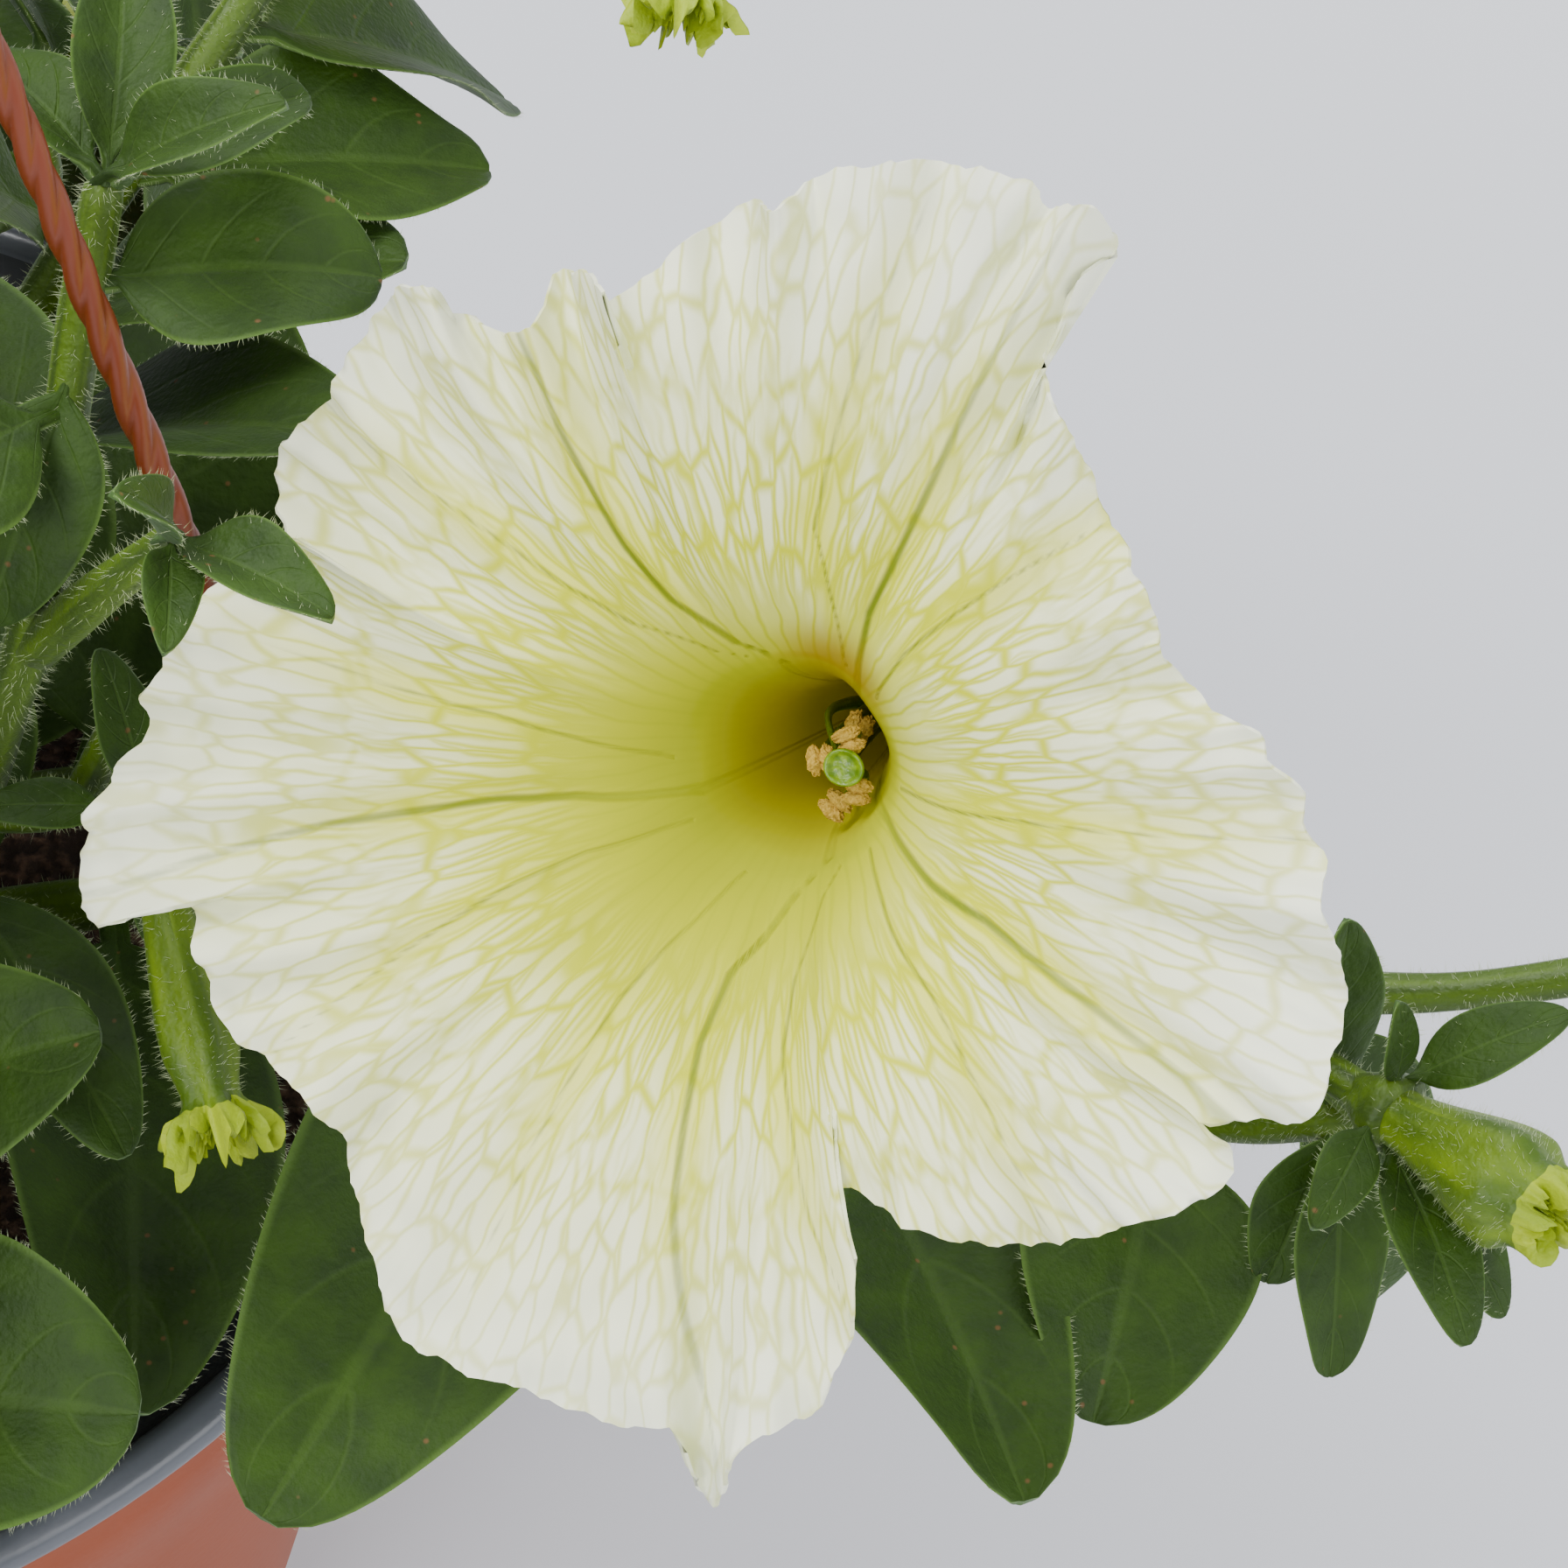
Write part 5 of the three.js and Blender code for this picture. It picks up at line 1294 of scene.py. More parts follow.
@dataclass(frozen=True)
class PetalSkin(Finish):
    """Thin creamy petal with a net of yellow-green veins, a yellow-green wash and an olive throat.

    Reach is the distance from the throat's middle in millimetres, and the rib the distance from a main vein.
    """

    wash: str = "#d6d600"
    vein: str = "#c0c400"
    main: str = "#627200"
    throat: str = "#9a9f00"
    # Deep in the tube: the tube's own yellow, brightened on the upper face as painted light for light shining
    # through the thin wall
    deep: str = "#cfbd00"
    patch: str = "#987800"
    patch_place: tuple[float, float, float] = (2.8, 5.6, 0.0)
    strength: float = 1.0
    # Vein nets: cells round the limb, a cell's length and half a vein's width in millimetres
    nets: tuple = ((104.0, 5.2, 0.18), (176.0, 5.0, 0.17))
    rays: float = 54.0
    line_mm: float = 0.21

    def net(self, add: Adder, place: Node, wide: Node, cells: float, length: float, line: float) -> Node:
        """Adds one layer of the vein net.

        The place (cos, sin, reach) is stretched to a cylinder with one unit for each cell round and along. The
        distance from the cells' walls, times the width of a cell, is a line's width in millimetres.

        Args:
            add: adds a node to the material.
            place: node with the place on the cylinder.
            wide: node with the reach, no less than 4.
            cells: number of cells round the limb.
            length: length of a cell in millimetres.
            line: half the width of a vein in millimetres.

        Returns:
            A node that is 1 on a vein and 0 between veins.
        """
        radius = cells / (2 * pi)
        drawn = add("VectorMath", PRODUCT, (place, (radius, radius, 1 / length)))
        walls = add("TexVoronoi", {"feature": "DISTANCE_TO_EDGE"},
                         {"Vector": drawn, "Scale": 1.0, "Randomness": 0.85})
        width = add("Math", PRODUCT, (walls.outputs["Distance"], wide))
        return add("MapRange", SMOOTH, (width, 0.0, line * radius, 1.0, 0.0))

    def ray_veins(self, add: Adder, bearing: Node, wide: Node, wobble: Node, count: float) -> Node:
        """Adds veins that run outward from the throat at even bearings, a little bent by noise.

        Args:
            add: adds a node to the material.
            bearing: node with the bearing in radians.
            wide: node with the reach, no less than 4.
            wobble: node with the noise that bends them.
            count: number of veins round the limb.

        Returns:
            A node that is 1 on a vein and 0 between veins.
        """
        radius = count / (2 * pi)
        turns = add("Math", SCALED_SUM, (bearing, radius, wobble))
        away = add("Math", {"operation": "PINGPONG"}, (turns, 0.5))
        width = add("Math", PRODUCT, (away, wide))
        return add("MapRange", SMOOTH, (width, 0.0, self.line_mm * radius, 1.0, 0.0))

    def vein_layers(self, add: Adder, place: Node, split: Node, wide: Node) -> Node:
        """Adds the two nets, which change over at a reach of 20 to 28, and two sets of rays that fade outward.

        Args:
            add: adds a node to the material.
            place: node with (cos, sin, reach).
            split: the same, split in three.
            wide: node with the reach, no less than 4.

        Returns:
            A node that is 1 on a vein and 0 between veins.
        """
        reach = split.outputs[2]
        scale, detail = 1 / (6 * MM), 2.0
        wobble = add("TexNoise", {}, {"Vector": self.object_place(add), "Scale": scale, "Detail": detail})
        wobble = add("VectorMath", SCALED_SUM,
                     (wobble.outputs["Color"], (0.05, 0.05, 1.6), place.outputs["Vector"]))
        inner, outer = (self.net(add, wobble, wide, *sizes) for sizes in self.nets)
        change = add("MapRange", SMOOTH, (reach, 20.0, 28.0, 0.0, 1.0))
        net = add("Mix", {"data_type": "FLOAT"}, {0: change, 2: inner, 3: outer})
        opening = add("MapRange", SMOOTH, (reach, 8.0, 14.0, 0.0, 1.0))
        net = add("Math", PRODUCT, (net, opening))
        bend = add("TexNoise", {}, {"Vector": self.object_place(add), "Scale": 1 / (7 * MM), "Detail": detail})
        bend = add("Math", PRODUCT, (bend, 1.5))
        bearing = add("Math", {"operation": "ARCTAN2"}, (split.outputs[1], split.outputs[0]))
        for count, start, full, end in ((self.rays, -12.0, -4.0, 26.0), (2 * self.rays, 9.0, 14.0, 28.0)):
            rays = self.ray_veins(add, bearing, wide, bend, count)
            for bounds in ((start, full, 0.0, 1.0), (15.0, end, 0.95, 0.0)):
                shown = add("MapRange", SMOOTH, (reach, *bounds))
                rays = add("Math", PRODUCT, (rays, shown))
            net = add("Math", HIGHEST, (net, rays))
        return net

    def dress(self, add: Adder) -> tuple:
        """Veins over a wash that is strongest at the main veins and on the throat's left and lower side.

        Args:
            add: adds a node to the tree.

        Returns:
            Sockets for the colour and the height, and the relief in millimetres.
        """
        place = add("Attribute", {"attribute_name": "vein_place"}, {})
        rib = add("Attribute", {"attribute_name": "rib"}, {}).outputs["Fac"]
        split = add("SeparateXYZ", {}, (place.outputs["Vector"],))
        reach = split.outputs[2]
        wide = add("Math", HIGHEST, (reach, 4.0))
        net = self.vein_layers(add, place, split, wide)
        main = add("MapRange", SMOOTH, (rib, 0.05, 0.38, 1.0, 0.0))
        main_fade = add("MapRange", {}, (reach, 14.0, 42.0, 1.0, 0.25))
        main = add("Math", PRODUCT, (main, main_fade))
        net_fade = add("MapRange", SMOOTH, (reach, 14.0, 44.0, self.strength, 0.32 * self.strength))
        net = add("Math", PRODUCT, (net, net_fade))
        dark = add("Math", PRODUCT, (main, 0.95))
        leaning = add("VectorMath", {"operation": "DOT_PRODUCT"},
                           (place.outputs["Vector"], (3.0, 2.4, 1.0))).outputs["Value"]
        near, far, mouth, beside, beside_fade, down = (
            add("MapRange", SMOOTH, values)
            for values in ((leaning, 6.0, 20.0, 1.0, 0.34), (leaning, 16.0, 42.0, 1.0, 0.08),
                           (leaning, 3.0, 17.0, 0.92, 0.0), (rib, 0.3, 4.4, 1.0, 0.0),
                           (reach, 16.0, 42.0, 0.85, 0.05), (reach, -8.0, 5.0, 1.0, 0.0)))
        near = add("Math", PRODUCT, (near, far))
        beside = add("Math", PRODUCT, (beside, beside_fade))
        wash = add("Math", HIGHEST, (near, beside))
        wash = add("Math", PRODUCT, (wash, self.strength))
        flat = add("VectorMath", {"operation": "SCALE"}, {0: place.outputs["Vector"], "Scale": wide})
        flat = add("VectorMath", PRODUCT, (flat, (1.0, 1.0, 0.0)))
        away = add("VectorMath", {"operation": "DISTANCE"}, (flat, self.patch_place))
        patch = add("MapRange", SMOOTH, (away.outputs["Value"], 1.0, 5.0, 0.85, 0.0))
        colour = self.colour
        # On the upper face the deep share is painted light inside the tube: its real yellow made brighter than the
        # throat's
        for share, tint in ((wash, self.wash), (net, self.vein), (dark, self.main), (mouth, self.throat),
                            (down, self.deep), (patch, self.patch)):
            colour = add("Mix", TINT, {0: share, A: colour, B: tint}).outputs[RESULT]
        relief = add("Math", PRODUCT, (main, -1.0))
        return colour, relief.outputs[0], 0.12


@dataclass(frozen=True)
class FormedPlastic(Finish):
    """Thin thermoformed or moulded plastic: faint flow streaks and a very fine grain."""

    dark: str = "#7e4a3c"
    grain_mm: float = 0.9

    def dress(self, add: Adder) -> tuple:
        """Streaks: noise stretched along the height, on object coordinates.

        Args:
            add: adds a node to the tree.

        Returns:
            Sockets for the colour and the height, and the relief in millimetres.
        """
        place = self.object_place(add)
        drawn = add("VectorMath", PRODUCT, (place, (1.0, 1.0, 0.15)))
        streak, grain = (add("TexNoise", {}, {"Vector": way, "Scale": 1 / (size * MM), "Detail": detail})
                         for way, size, detail in ((drawn, 9, 4.0), (place, self.grain_mm, 2.0)))
        mixed = add("MapRange", {}, (streak, 0.35, 0.75, 0.0, 0.35))
        colour = add("Mix", TINT, {0: mixed, A: self.colour, B: self.dark})
        return colour.outputs[RESULT], grain.outputs[0], 0.03


@dataclass(frozen=True)
class PeatSoil(Finish):
    """Peat: dark crumbs, fibres and a little lighter dust."""

    light: str = "#6d5240"
    crumb_mm: float = 2.2

    def dress(self, add: Adder) -> tuple:
        """Crumbs: cells over noise, both in the colour and the height.

        Args:
            add: adds a node to the tree.

        Returns:
            Sockets for the colour and the height, and the relief in millimetres.
        """
        place = self.object_place(add)
        cells = add("TexVoronoi", {"feature": "F1"}, {"Vector": place, "Scale": 1 / (self.crumb_mm * MM)})
        dust = add("TexNoise", {}, {"Vector": place, "Scale": 1 / (1.1 * MM), "Detail": 6.0})
        height = add("Math", {"operation": "ADD"}, (cells.outputs["Distance"], dust))
        mixed = add("MapRange", {}, (dust, 0.45, 0.7, 0.0, 0.8))
        colour = add("Mix", TINT, {0: mixed, A: self.colour, B: self.light})
        return colour.outputs[RESULT], height.outputs[0], 1.0


@dataclass(frozen=True)
class Grains(Finish):
    """Surface of fine grains of two colours, such as an anther covered in pollen."""

    light: str = "#c9a544"
    grain_mm: float = 0.16

    def dress(self, add: Adder) -> tuple:
        """Grains: cells whose random colour mixes the two colours and whose distance is their height.

        Args:
            add: adds a node to the tree.

        Returns:
            Sockets for the colour and the height, and the relief in millimetres.
        """
        cells = add("TexVoronoi", {"feature": "F1"},
                         {"Vector": self.object_place(add), "Scale": 1 / (self.grain_mm * MM)})
        colour = add("Mix", TINT, {0: cells.outputs["Color"], A: self.colour, B: self.light})
        height = add("Math", PRODUCT, (cells.outputs["Distance"], -1.0))
        return colour.outputs[RESULT], height.outputs[0], 0.08


FINISHES = {
    # Green leaf: a thin waxy skin under fine hair, so a soft sheen instead of a mirror gloss
    Face.LEAF: LeafSkin("leaf_upper_face", "#2b4502", roughness=0.6, ior=1.4, sheen=0.02, specular=0.35),
    Face.LEAF_BACK: LeafSkin("leaf_underside", "#3f5d24", roughness=0.65, ior=1.4, sheen=0.06, light="#6e8a48",
                             dark="#30491b"),
    # Young stem tissue: pale, moist and full of light
    Face.STEM: SoftStem("soft_stem", "#2c4200", roughness=0.5, ior=1.4, sheen=0.05, scatter=0.1, light="#4f6a00"),
    Face.BUD: SoftStem("furled_bud", "#3d5700", roughness=0.5, ior=1.4, sheen=0.04, scatter=0.1, light="#6a8400"),
    Face.CROWN: SoftStem("bud_crown", "#859a00", roughness=0.55, ior=1.4, sheen=0.04, light="#a4b50e"),
    # Clear plant hair: light runs through it, so it looks white
    Face.HAIR: Finish("plant_hair", "#b3c08c", roughness=0.4, ior=1.5, scatter=0.3),
    # Petal: velvety, matt and slightly see-through cells; the yellow deep in its tube is brightened as painted
    # light
    Face.PETAL: PetalSkin("petal_upper_face", "#f1f4de", roughness=0.7, ior=1.4, specular=0.25),
    Face.PETAL_BACK: PetalSkin("petal_underside", "#e8ecd2", roughness=0.7, ior=1.4, specular=0.25,
                               strength=0.6, throat="#c3c864", deep="#aebb5c", vein="#b4ba3c"),
    Face.POLLEN: Grains("pollen_grains", "#a07c1a", roughness=0.8, ior=1.4),
    Face.PISTIL: SoftStem("green_pistil", "#4d6c00", roughness=0.35, light="#7a9600"),
    # Polypropylene pot, thermoformed from two-colour sheet: satin, with the faint streaks of the sheet
    Face.WALL: FormedPlastic("terracotta_polypropylene", "#8a3c12", roughness=0.55, ior=1.49, specular=0.35,
                             dark="#78330e"),
    Face.LIP: FormedPlastic("grey_polypropylene", "#56595f", roughness=0.28, ior=1.49, dark="#484b50"),
    # Inside the pot: the lip's own grey sheet, painted darker as shade below the rim
    Face.INSIDE: FormedPlastic("grey_polypropylene_painted_shade", "#2e2f33", roughness=0.4, ior=1.49, dark="#242528"),
    Face.SOIL: PeatSoil("peat_soil", "#2f2118", roughness=0.95),
    Face.CRUMB: PeatSoil("peat_crumb", "#3d2c20", roughness=0.95, light="#7a5f4a"),
    # Injection-moulded polypropylene: smooth, a little see-through at its edges
    Face.TWIST: FormedPlastic("moulded_twist", "#6e2a06", roughness=0.4, ior=1.49, dark="#4a1a03"),
    Face.MOULDED: FormedPlastic("moulded_hanger_plastic", "#6e2a06", roughness=0.4, ior=1.49, dark="#4a1a03"),
}


# Sub-assemblies


@dataclass
class Dresser:
    """Turns shells into the part's pieces, with one material for each finish that is in use."""

    made: dict[Face, Material] = field(default_factory=dict)

    def materials(self, finishes: list[Face]) -> dict[Face, Material]:
        """Returns a material for each finish, made at its first use."""
        for finish in finishes:
            if finish not in self.made:
                self.made[finish] = FINISHES[finish].material()
        return self.made

    def dress(self, shell: Shell, node: str, slot: str, crease: float = 60.0) -> Object:
        """Builds a shell's object in place of a node, riding on the part's one body.

        Args:
            shell: the gathered skins.
            node: name of the node that it stands for.
            slot: the record's material slot; not used.
            crease: edges sharper than this stay sharp, in degrees.

        Returns:
            The object.
        """
        piece = shell.build(self.materials(shell.finishes), crease)
        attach(piece, "root")
        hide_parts(node)
        return piece


DRESSER = Dresser()


@dataclass
class Pot:
    """Thin two-tone pot: terracotta wall, grey rolled lip, grey inside with painted shade, drain holes and peat."""

    sizes: PotSizes = POT
    sides: int = 160
    lip_steps: int = 18
    soil_sides: int = 150
    soil_rings: int = 60
    crumbs: int = 900

    def profile(self) -> tuple[Array, int, int]:
        """Gives the pot's closed outline.

        It runs from the middle of the underside out, up the tapered wall, round the lip's circle, down the
        sloping collar and its edge, and back down inside. The wall has two shallow steps below the lip.

        Returns:
            Points (radius, height), and the spans that the lip and the inside start at.
        """
        size = self.sizes
        wall = size.wall_radius
        steps = [(0, -2.2, 0.05), (0, -1.1, 0.25), (1, -0.25, 1.0), (2, 0, 2.2)]
        steps += [(z, 0, z) for z in np.linspace(6, 92, 14)]
        top = size.wall_top - 2.4
        steps += [(93, 0.25, 93.0), (100, 0.25, 100.0), (101, 0, 101.0), (top, 0, top)]
        outer = [(0.4, 0.05), (12, 0.05), *((wall(level) + out, z) for level, out, z in steps)]
        turns = np.radians(np.linspace(-128, 168, self.lip_steps))
        groove = 0.16 * np.exp(-(((turns - radians(62)) / 0.2) ** 2))
        radius = size.bead - 0.02 - groove
        lip = np.stack([size.bead_centre + radius * np.cos(turns), size.wall_top + radius * np.sin(turns)], axis=1)
        shelf = size.collar_height
        edge = [(3.9, 2.4), (2.2, 1.4), (0.8, 0.5), (0.2, 0), (0, -0.5), (0.2, -1.0), (0.8, -1.1), (3.0, -1.5)]
        back = [(size.collar_radius + out, shelf + up) for out, up in edge]
        back += [(wall(z) - size.wall, z) for z in (shelf - 2.4, *np.linspace(98, 6, 14))]
        back += [(wall(size.floor) - size.wall - 1, size.floor + 0.3), (30, size.floor), (0.4, size.floor)]
        return np.vstack([outer, lip, back]), len(outer) + 1, len(outer) + len(lip) - 1

    def build(self) -> None:
        """Builds the pot and the soil."""
        points, lip, inside = self.profile()
        span = np.arange(len(points) - 1)[:, None]
        shell = Shell("two_tone_pot")
        # From the inside span on, the faces take the darker grey: painted shade
        shell.skin(turned_profile(points, self.sides), Face.WALL,
                   backs=((Face.LIP, span >= lip), (Face.INSIDE, span >= inside)))
        self.drill(DRESSER.dress(shell, "pot", "pot_plastic", crease=40))
        self.build_soil()

    def drill(self, pot: Object) -> None:
        """Cuts the drain holes through the floor with one cutter of straight round pegs.

        Args:
            pot: the pot, whose mesh is replaced.
        """
        size = self.sizes
        cutter = Shell("drain_pegs")
        peg = turned_profile(np.array([[size.drain_radius, -4.0], [size.drain_radius, size.floor + 4]]), 32)
        for k in range(size.drain_count):
            cutter.skin(peg + polar(360 / size.drain_count * k, size.drain_circle, 0), Face.INSIDE)
        pegs = cutter.build(DRESSER.materials([Face.INSIDE]))
        cut = pot.modifiers.new("drain_holes", "BOOLEAN")
        cut.operation = "DIFFERENCE"
        cut.object = pegs
        cut.solver = "EXACT"
        evaluated = pot.evaluated_get(bpy.context.evaluated_depsgraph_get())
        drilled = bpy.data.meshes.new_from_object(evaluated)
        pot.modifiers.clear()
        pot.data = drilled
        bpy.data.objects.remove(pegs)

    def build_soil(self) -> None:
        """Builds the peat: a plug with a lumpy top, level z0 + lumps + ripples, and loose crumbs on it."""
        size, count = self.sizes, self.crumbs
        brim = size.wall_radius(size.soil_top) - size.wall - 0.9
        reach = np.linspace(0.5, brim, self.soil_rings)
        angle = even_angles(self.soil_sides)
        x, y = reach[:, None] * np.cos(angle), reach[:, None] * np.sin(angle)
        top = np.stack([x, y, self.soil_level(x, y)], axis=-1)
        foot = size.wall_radius(size.floor) - size.wall - 0.8
        sunk = turned_profile(np.array([[brim, size.soil_top - 1.5], [(brim + foot) / 2, size.soil_top / 2],
                                        [foot, size.floor + GAP], [foot * 0.5, size.floor + GAP]]), self.soil_sides)
        shell = Shell("peat")
        shell.skin(np.concatenate([top, sunk]), Face.SOIL)
        random = np.random.default_rng(7)
        turn = random.uniform(0, 2 * pi, count)
        out = brim * np.sqrt(random.uniform(0.02, 0.94, count))
        x, y = out * np.cos(turn), out * np.sin(turn)
        centre = np.stack([x, y, self.soil_level(x, y)], axis=1)
        corners = np.array([[1, 0, 0], [0, 1, 0], [-1, 0, 0], [0, -1, 0], [0, 0, 1], [0, 0, -1]], dtype=float)
        pattern = np.array([[0, 1, 4], [1, 2, 4], [2, 3, 4], [3, 0, 4], [1, 0, 5], [2, 1, 5], [3, 2, 5], [0, 3, 5]])
        scale = random.uniform(0.35, 1.1, (count, 1, 1)) * random.uniform(0.6, 1.3, (count, 6, 1))
        points = (centre[:, None] + corners * scale * vec(1, 1, 0.8)).reshape(-1, 3)
        shell.add_copies(points, pattern, count, Face.CRUMB)
        DRESSER.dress(shell, "soil", "potting_soil")

    def soil_level(self, x: Array, y: Array) -> Array:
        """Returns the height of the soil at a place: two crossed waves and finer ripples.

        Args:
            x: places across.
            y: places towards the back.

        Returns:
            The heights in millimetres.
        """
        lumps = 0.7 * np.sin(0.21 * x + 1) * np.cos(0.17 * y) + 0.4 * np.sin(0.4 * (x - y))
        ripples = 0.5 * ripple(3, x / 9, y / 9, octaves=4)
        return self.sizes.soil_top + lumps * ease(58 - np.hypot(x, y), 0, 14) + ripples


@dataclass
class Hanger:
    """Clip-on hanger: three twisted strands, each with a clip and a knob, and an open hook over a hub plate."""

    sizes: HangerSizes = HANGER
    cord_offset: float = 0.43
    cord_radius: float = 0.62
    lay: float = 14.7
    sides: int = 24
    clip_steps: int = 40

    def lobes(self, angle: Array) -> Array:
        """Returns the radius of three round cords pressed together: the nearest cord's circle at each angle.

        Args:
            angle: angles round the strand.

        Returns:
            The radii in millimetres.
        """
        nearest = np.mod(angle + pi / 3, 2 * pi / 3) - pi / 3
        across = self.cord_offset * np.sin(nearest)
        return self.cord_offset * np.cos(nearest) + np.sqrt(self.cord_radius**2 - across**2)

    def strand(self, bearing: float) -> Shell:
        """Gives one strand.

        The rod's profile turns right-handed by one turn for each lay, and the knob and the shank are round bars
        whose radius is a rounded hump.

        Args:
            bearing: place round the rim in degrees.

        Returns:
            The strand's skins.
        """
        size, sides = self.sizes, self.sides
        foot = polar(bearing, size.foot, size.foot_height)
        top = polar(bearing, size.hub_circle, size.hub_height + size.hub_thickness + 2.4)
        along = unit(top - foot)
        rod = SmoothCurve([foot - along, top])
        length = rod.length()
        shell = Shell(f"twisted_strand_{size.bearings.index(bearing) + 1}")
        shell.skin(tube(rod, int(length / 0.62), sides, lambda t, a: self.lobes(a) + 0 * t,
                        2 * pi * length / self.lay), Face.TWIST)
        shell.skin(tube(SmoothCurve([top - 0.9 * along, top + 2.2 * along]), 14, sides,
                        lambda t, a: 2.35 * rounded_ends(t, 3.1, 1.5) + 0.02 + 0 * a), Face.MOULDED)
        inner = POT.bead + GAP + size.clip_play
        middle = inner + size.clip_thickness / 2
        shell.skin(self.clip(bearing, middle), Face.MOULDED)
        wall = polar(bearing, POT.bead_centre + 0.72 * middle, POT.wall_top + 0.55 * middle)
        shell.skin(tube(SmoothCurve([wall, foot, foot + 7 * along]), 24, sides, lambda t, a: 0.7 + 1.3 * np.sin(
            pi * np.minimum(1.15 * t + 0.1, 1)) ** 0.8 * (1 - 0.5 * t) + 0 * a), Face.MOULDED)
        return shell

    def clip(self, bearing: float, middle: float) -> Array:
        """Gives the rings of a clip: a rounded bar carried round an arc about the lip.

        Args:
            bearing: place round the rim in degrees.
            middle: radius of the arc.

        Returns:
            Points, shape (rings, sides, 3).
        """
        size = self.sizes
        turns = np.radians(np.linspace(-100, 150, self.clip_steps))
        outward, sideways = polar(bearing, 1, 0), polar(bearing + 90, 1, 0)
        centre = polar(bearing, POT.bead_centre - size.clip_play, POT.wall_top)
        radial = (np.cos(turns)[:, None] * outward + np.sin(turns)[:, None] * UP)[:, None]
        angle = even_angles(28)
        square = 1 / (np.abs(np.cos(angle)) ** 5 + np.abs(np.sin(angle)) ** 5) ** 0.2
        end = rounded_ends(np.linspace(0, 1, self.clip_steps), 19.0, 0.9)[:, None, None] * 0.35 + 0.65
        return (centre + middle * radial
                + radial * (size.clip_thickness / 2 * square * np.cos(angle))[None, :, None] * end
                + sideways * (size.clip_width / 2 * square * np.sin(angle))[None, :, None] * end)

    def hook(self) -> Shell:
        """Returns the hook: a round-edged hub plate, a flared neck and a bent wire with a rounded end.

        Returns:
            The shell of the hook.
        """
        size = self.sizes
        shell = Shell("hook_and_hub")
        edge = np.radians(np.linspace(-90, 90, 9))
        half, base = size.hub_thickness / 2, size.hub_height
        neck = base + size.hub_thickness
        round_off = 0.9
        rim = np.stack([size.hub_radius - round_off + round_off * np.cos(edge),
                        base + half + (half - 0.05) * np.sin(edge)], axis=1)
        profile = np.vstack([[0.3, base + 0.05], rim, [3.6, neck], [2.7, neck + 1.4], [0.3, neck + 2.0]])
        shell.skin(turned_profile(profile, 64), Face.MOULDED)
        turns = np.radians(np.arange(-90, 151, 40))
        bend = [vec(size.hook_bend * cos(turn), 0, neck + 26 + size.hook_bend * sin(turn)) for turn in turns]
        curve = SmoothCurve([vec(0, 0, base + 0.5), vec(0, 0, neck + 5), vec(0, 0, neck + 10), *bend])
        length = curve.length()
        shell.skin(tube(curve, 120, self.sides, lambda t, a: size.hook_wire * (1 - 0.13 * t) * (
            0.12 + 0.88 * rounded_ends(t, length, 1.8)) + 0.12 * np.cos(2 * a)), Face.MOULDED)
        return shell

    def build(self) -> None:
        """Builds the strands and the hook."""
        for k, bearing in enumerate(self.sizes.bearings):
            DRESSER.dress(self.strand(bearing), f"hanger_strand_{k + 1}", "hanger_plastic")
        DRESSER.dress(self.hook(), "hanger_hook", "hanger_plastic", crease=50)


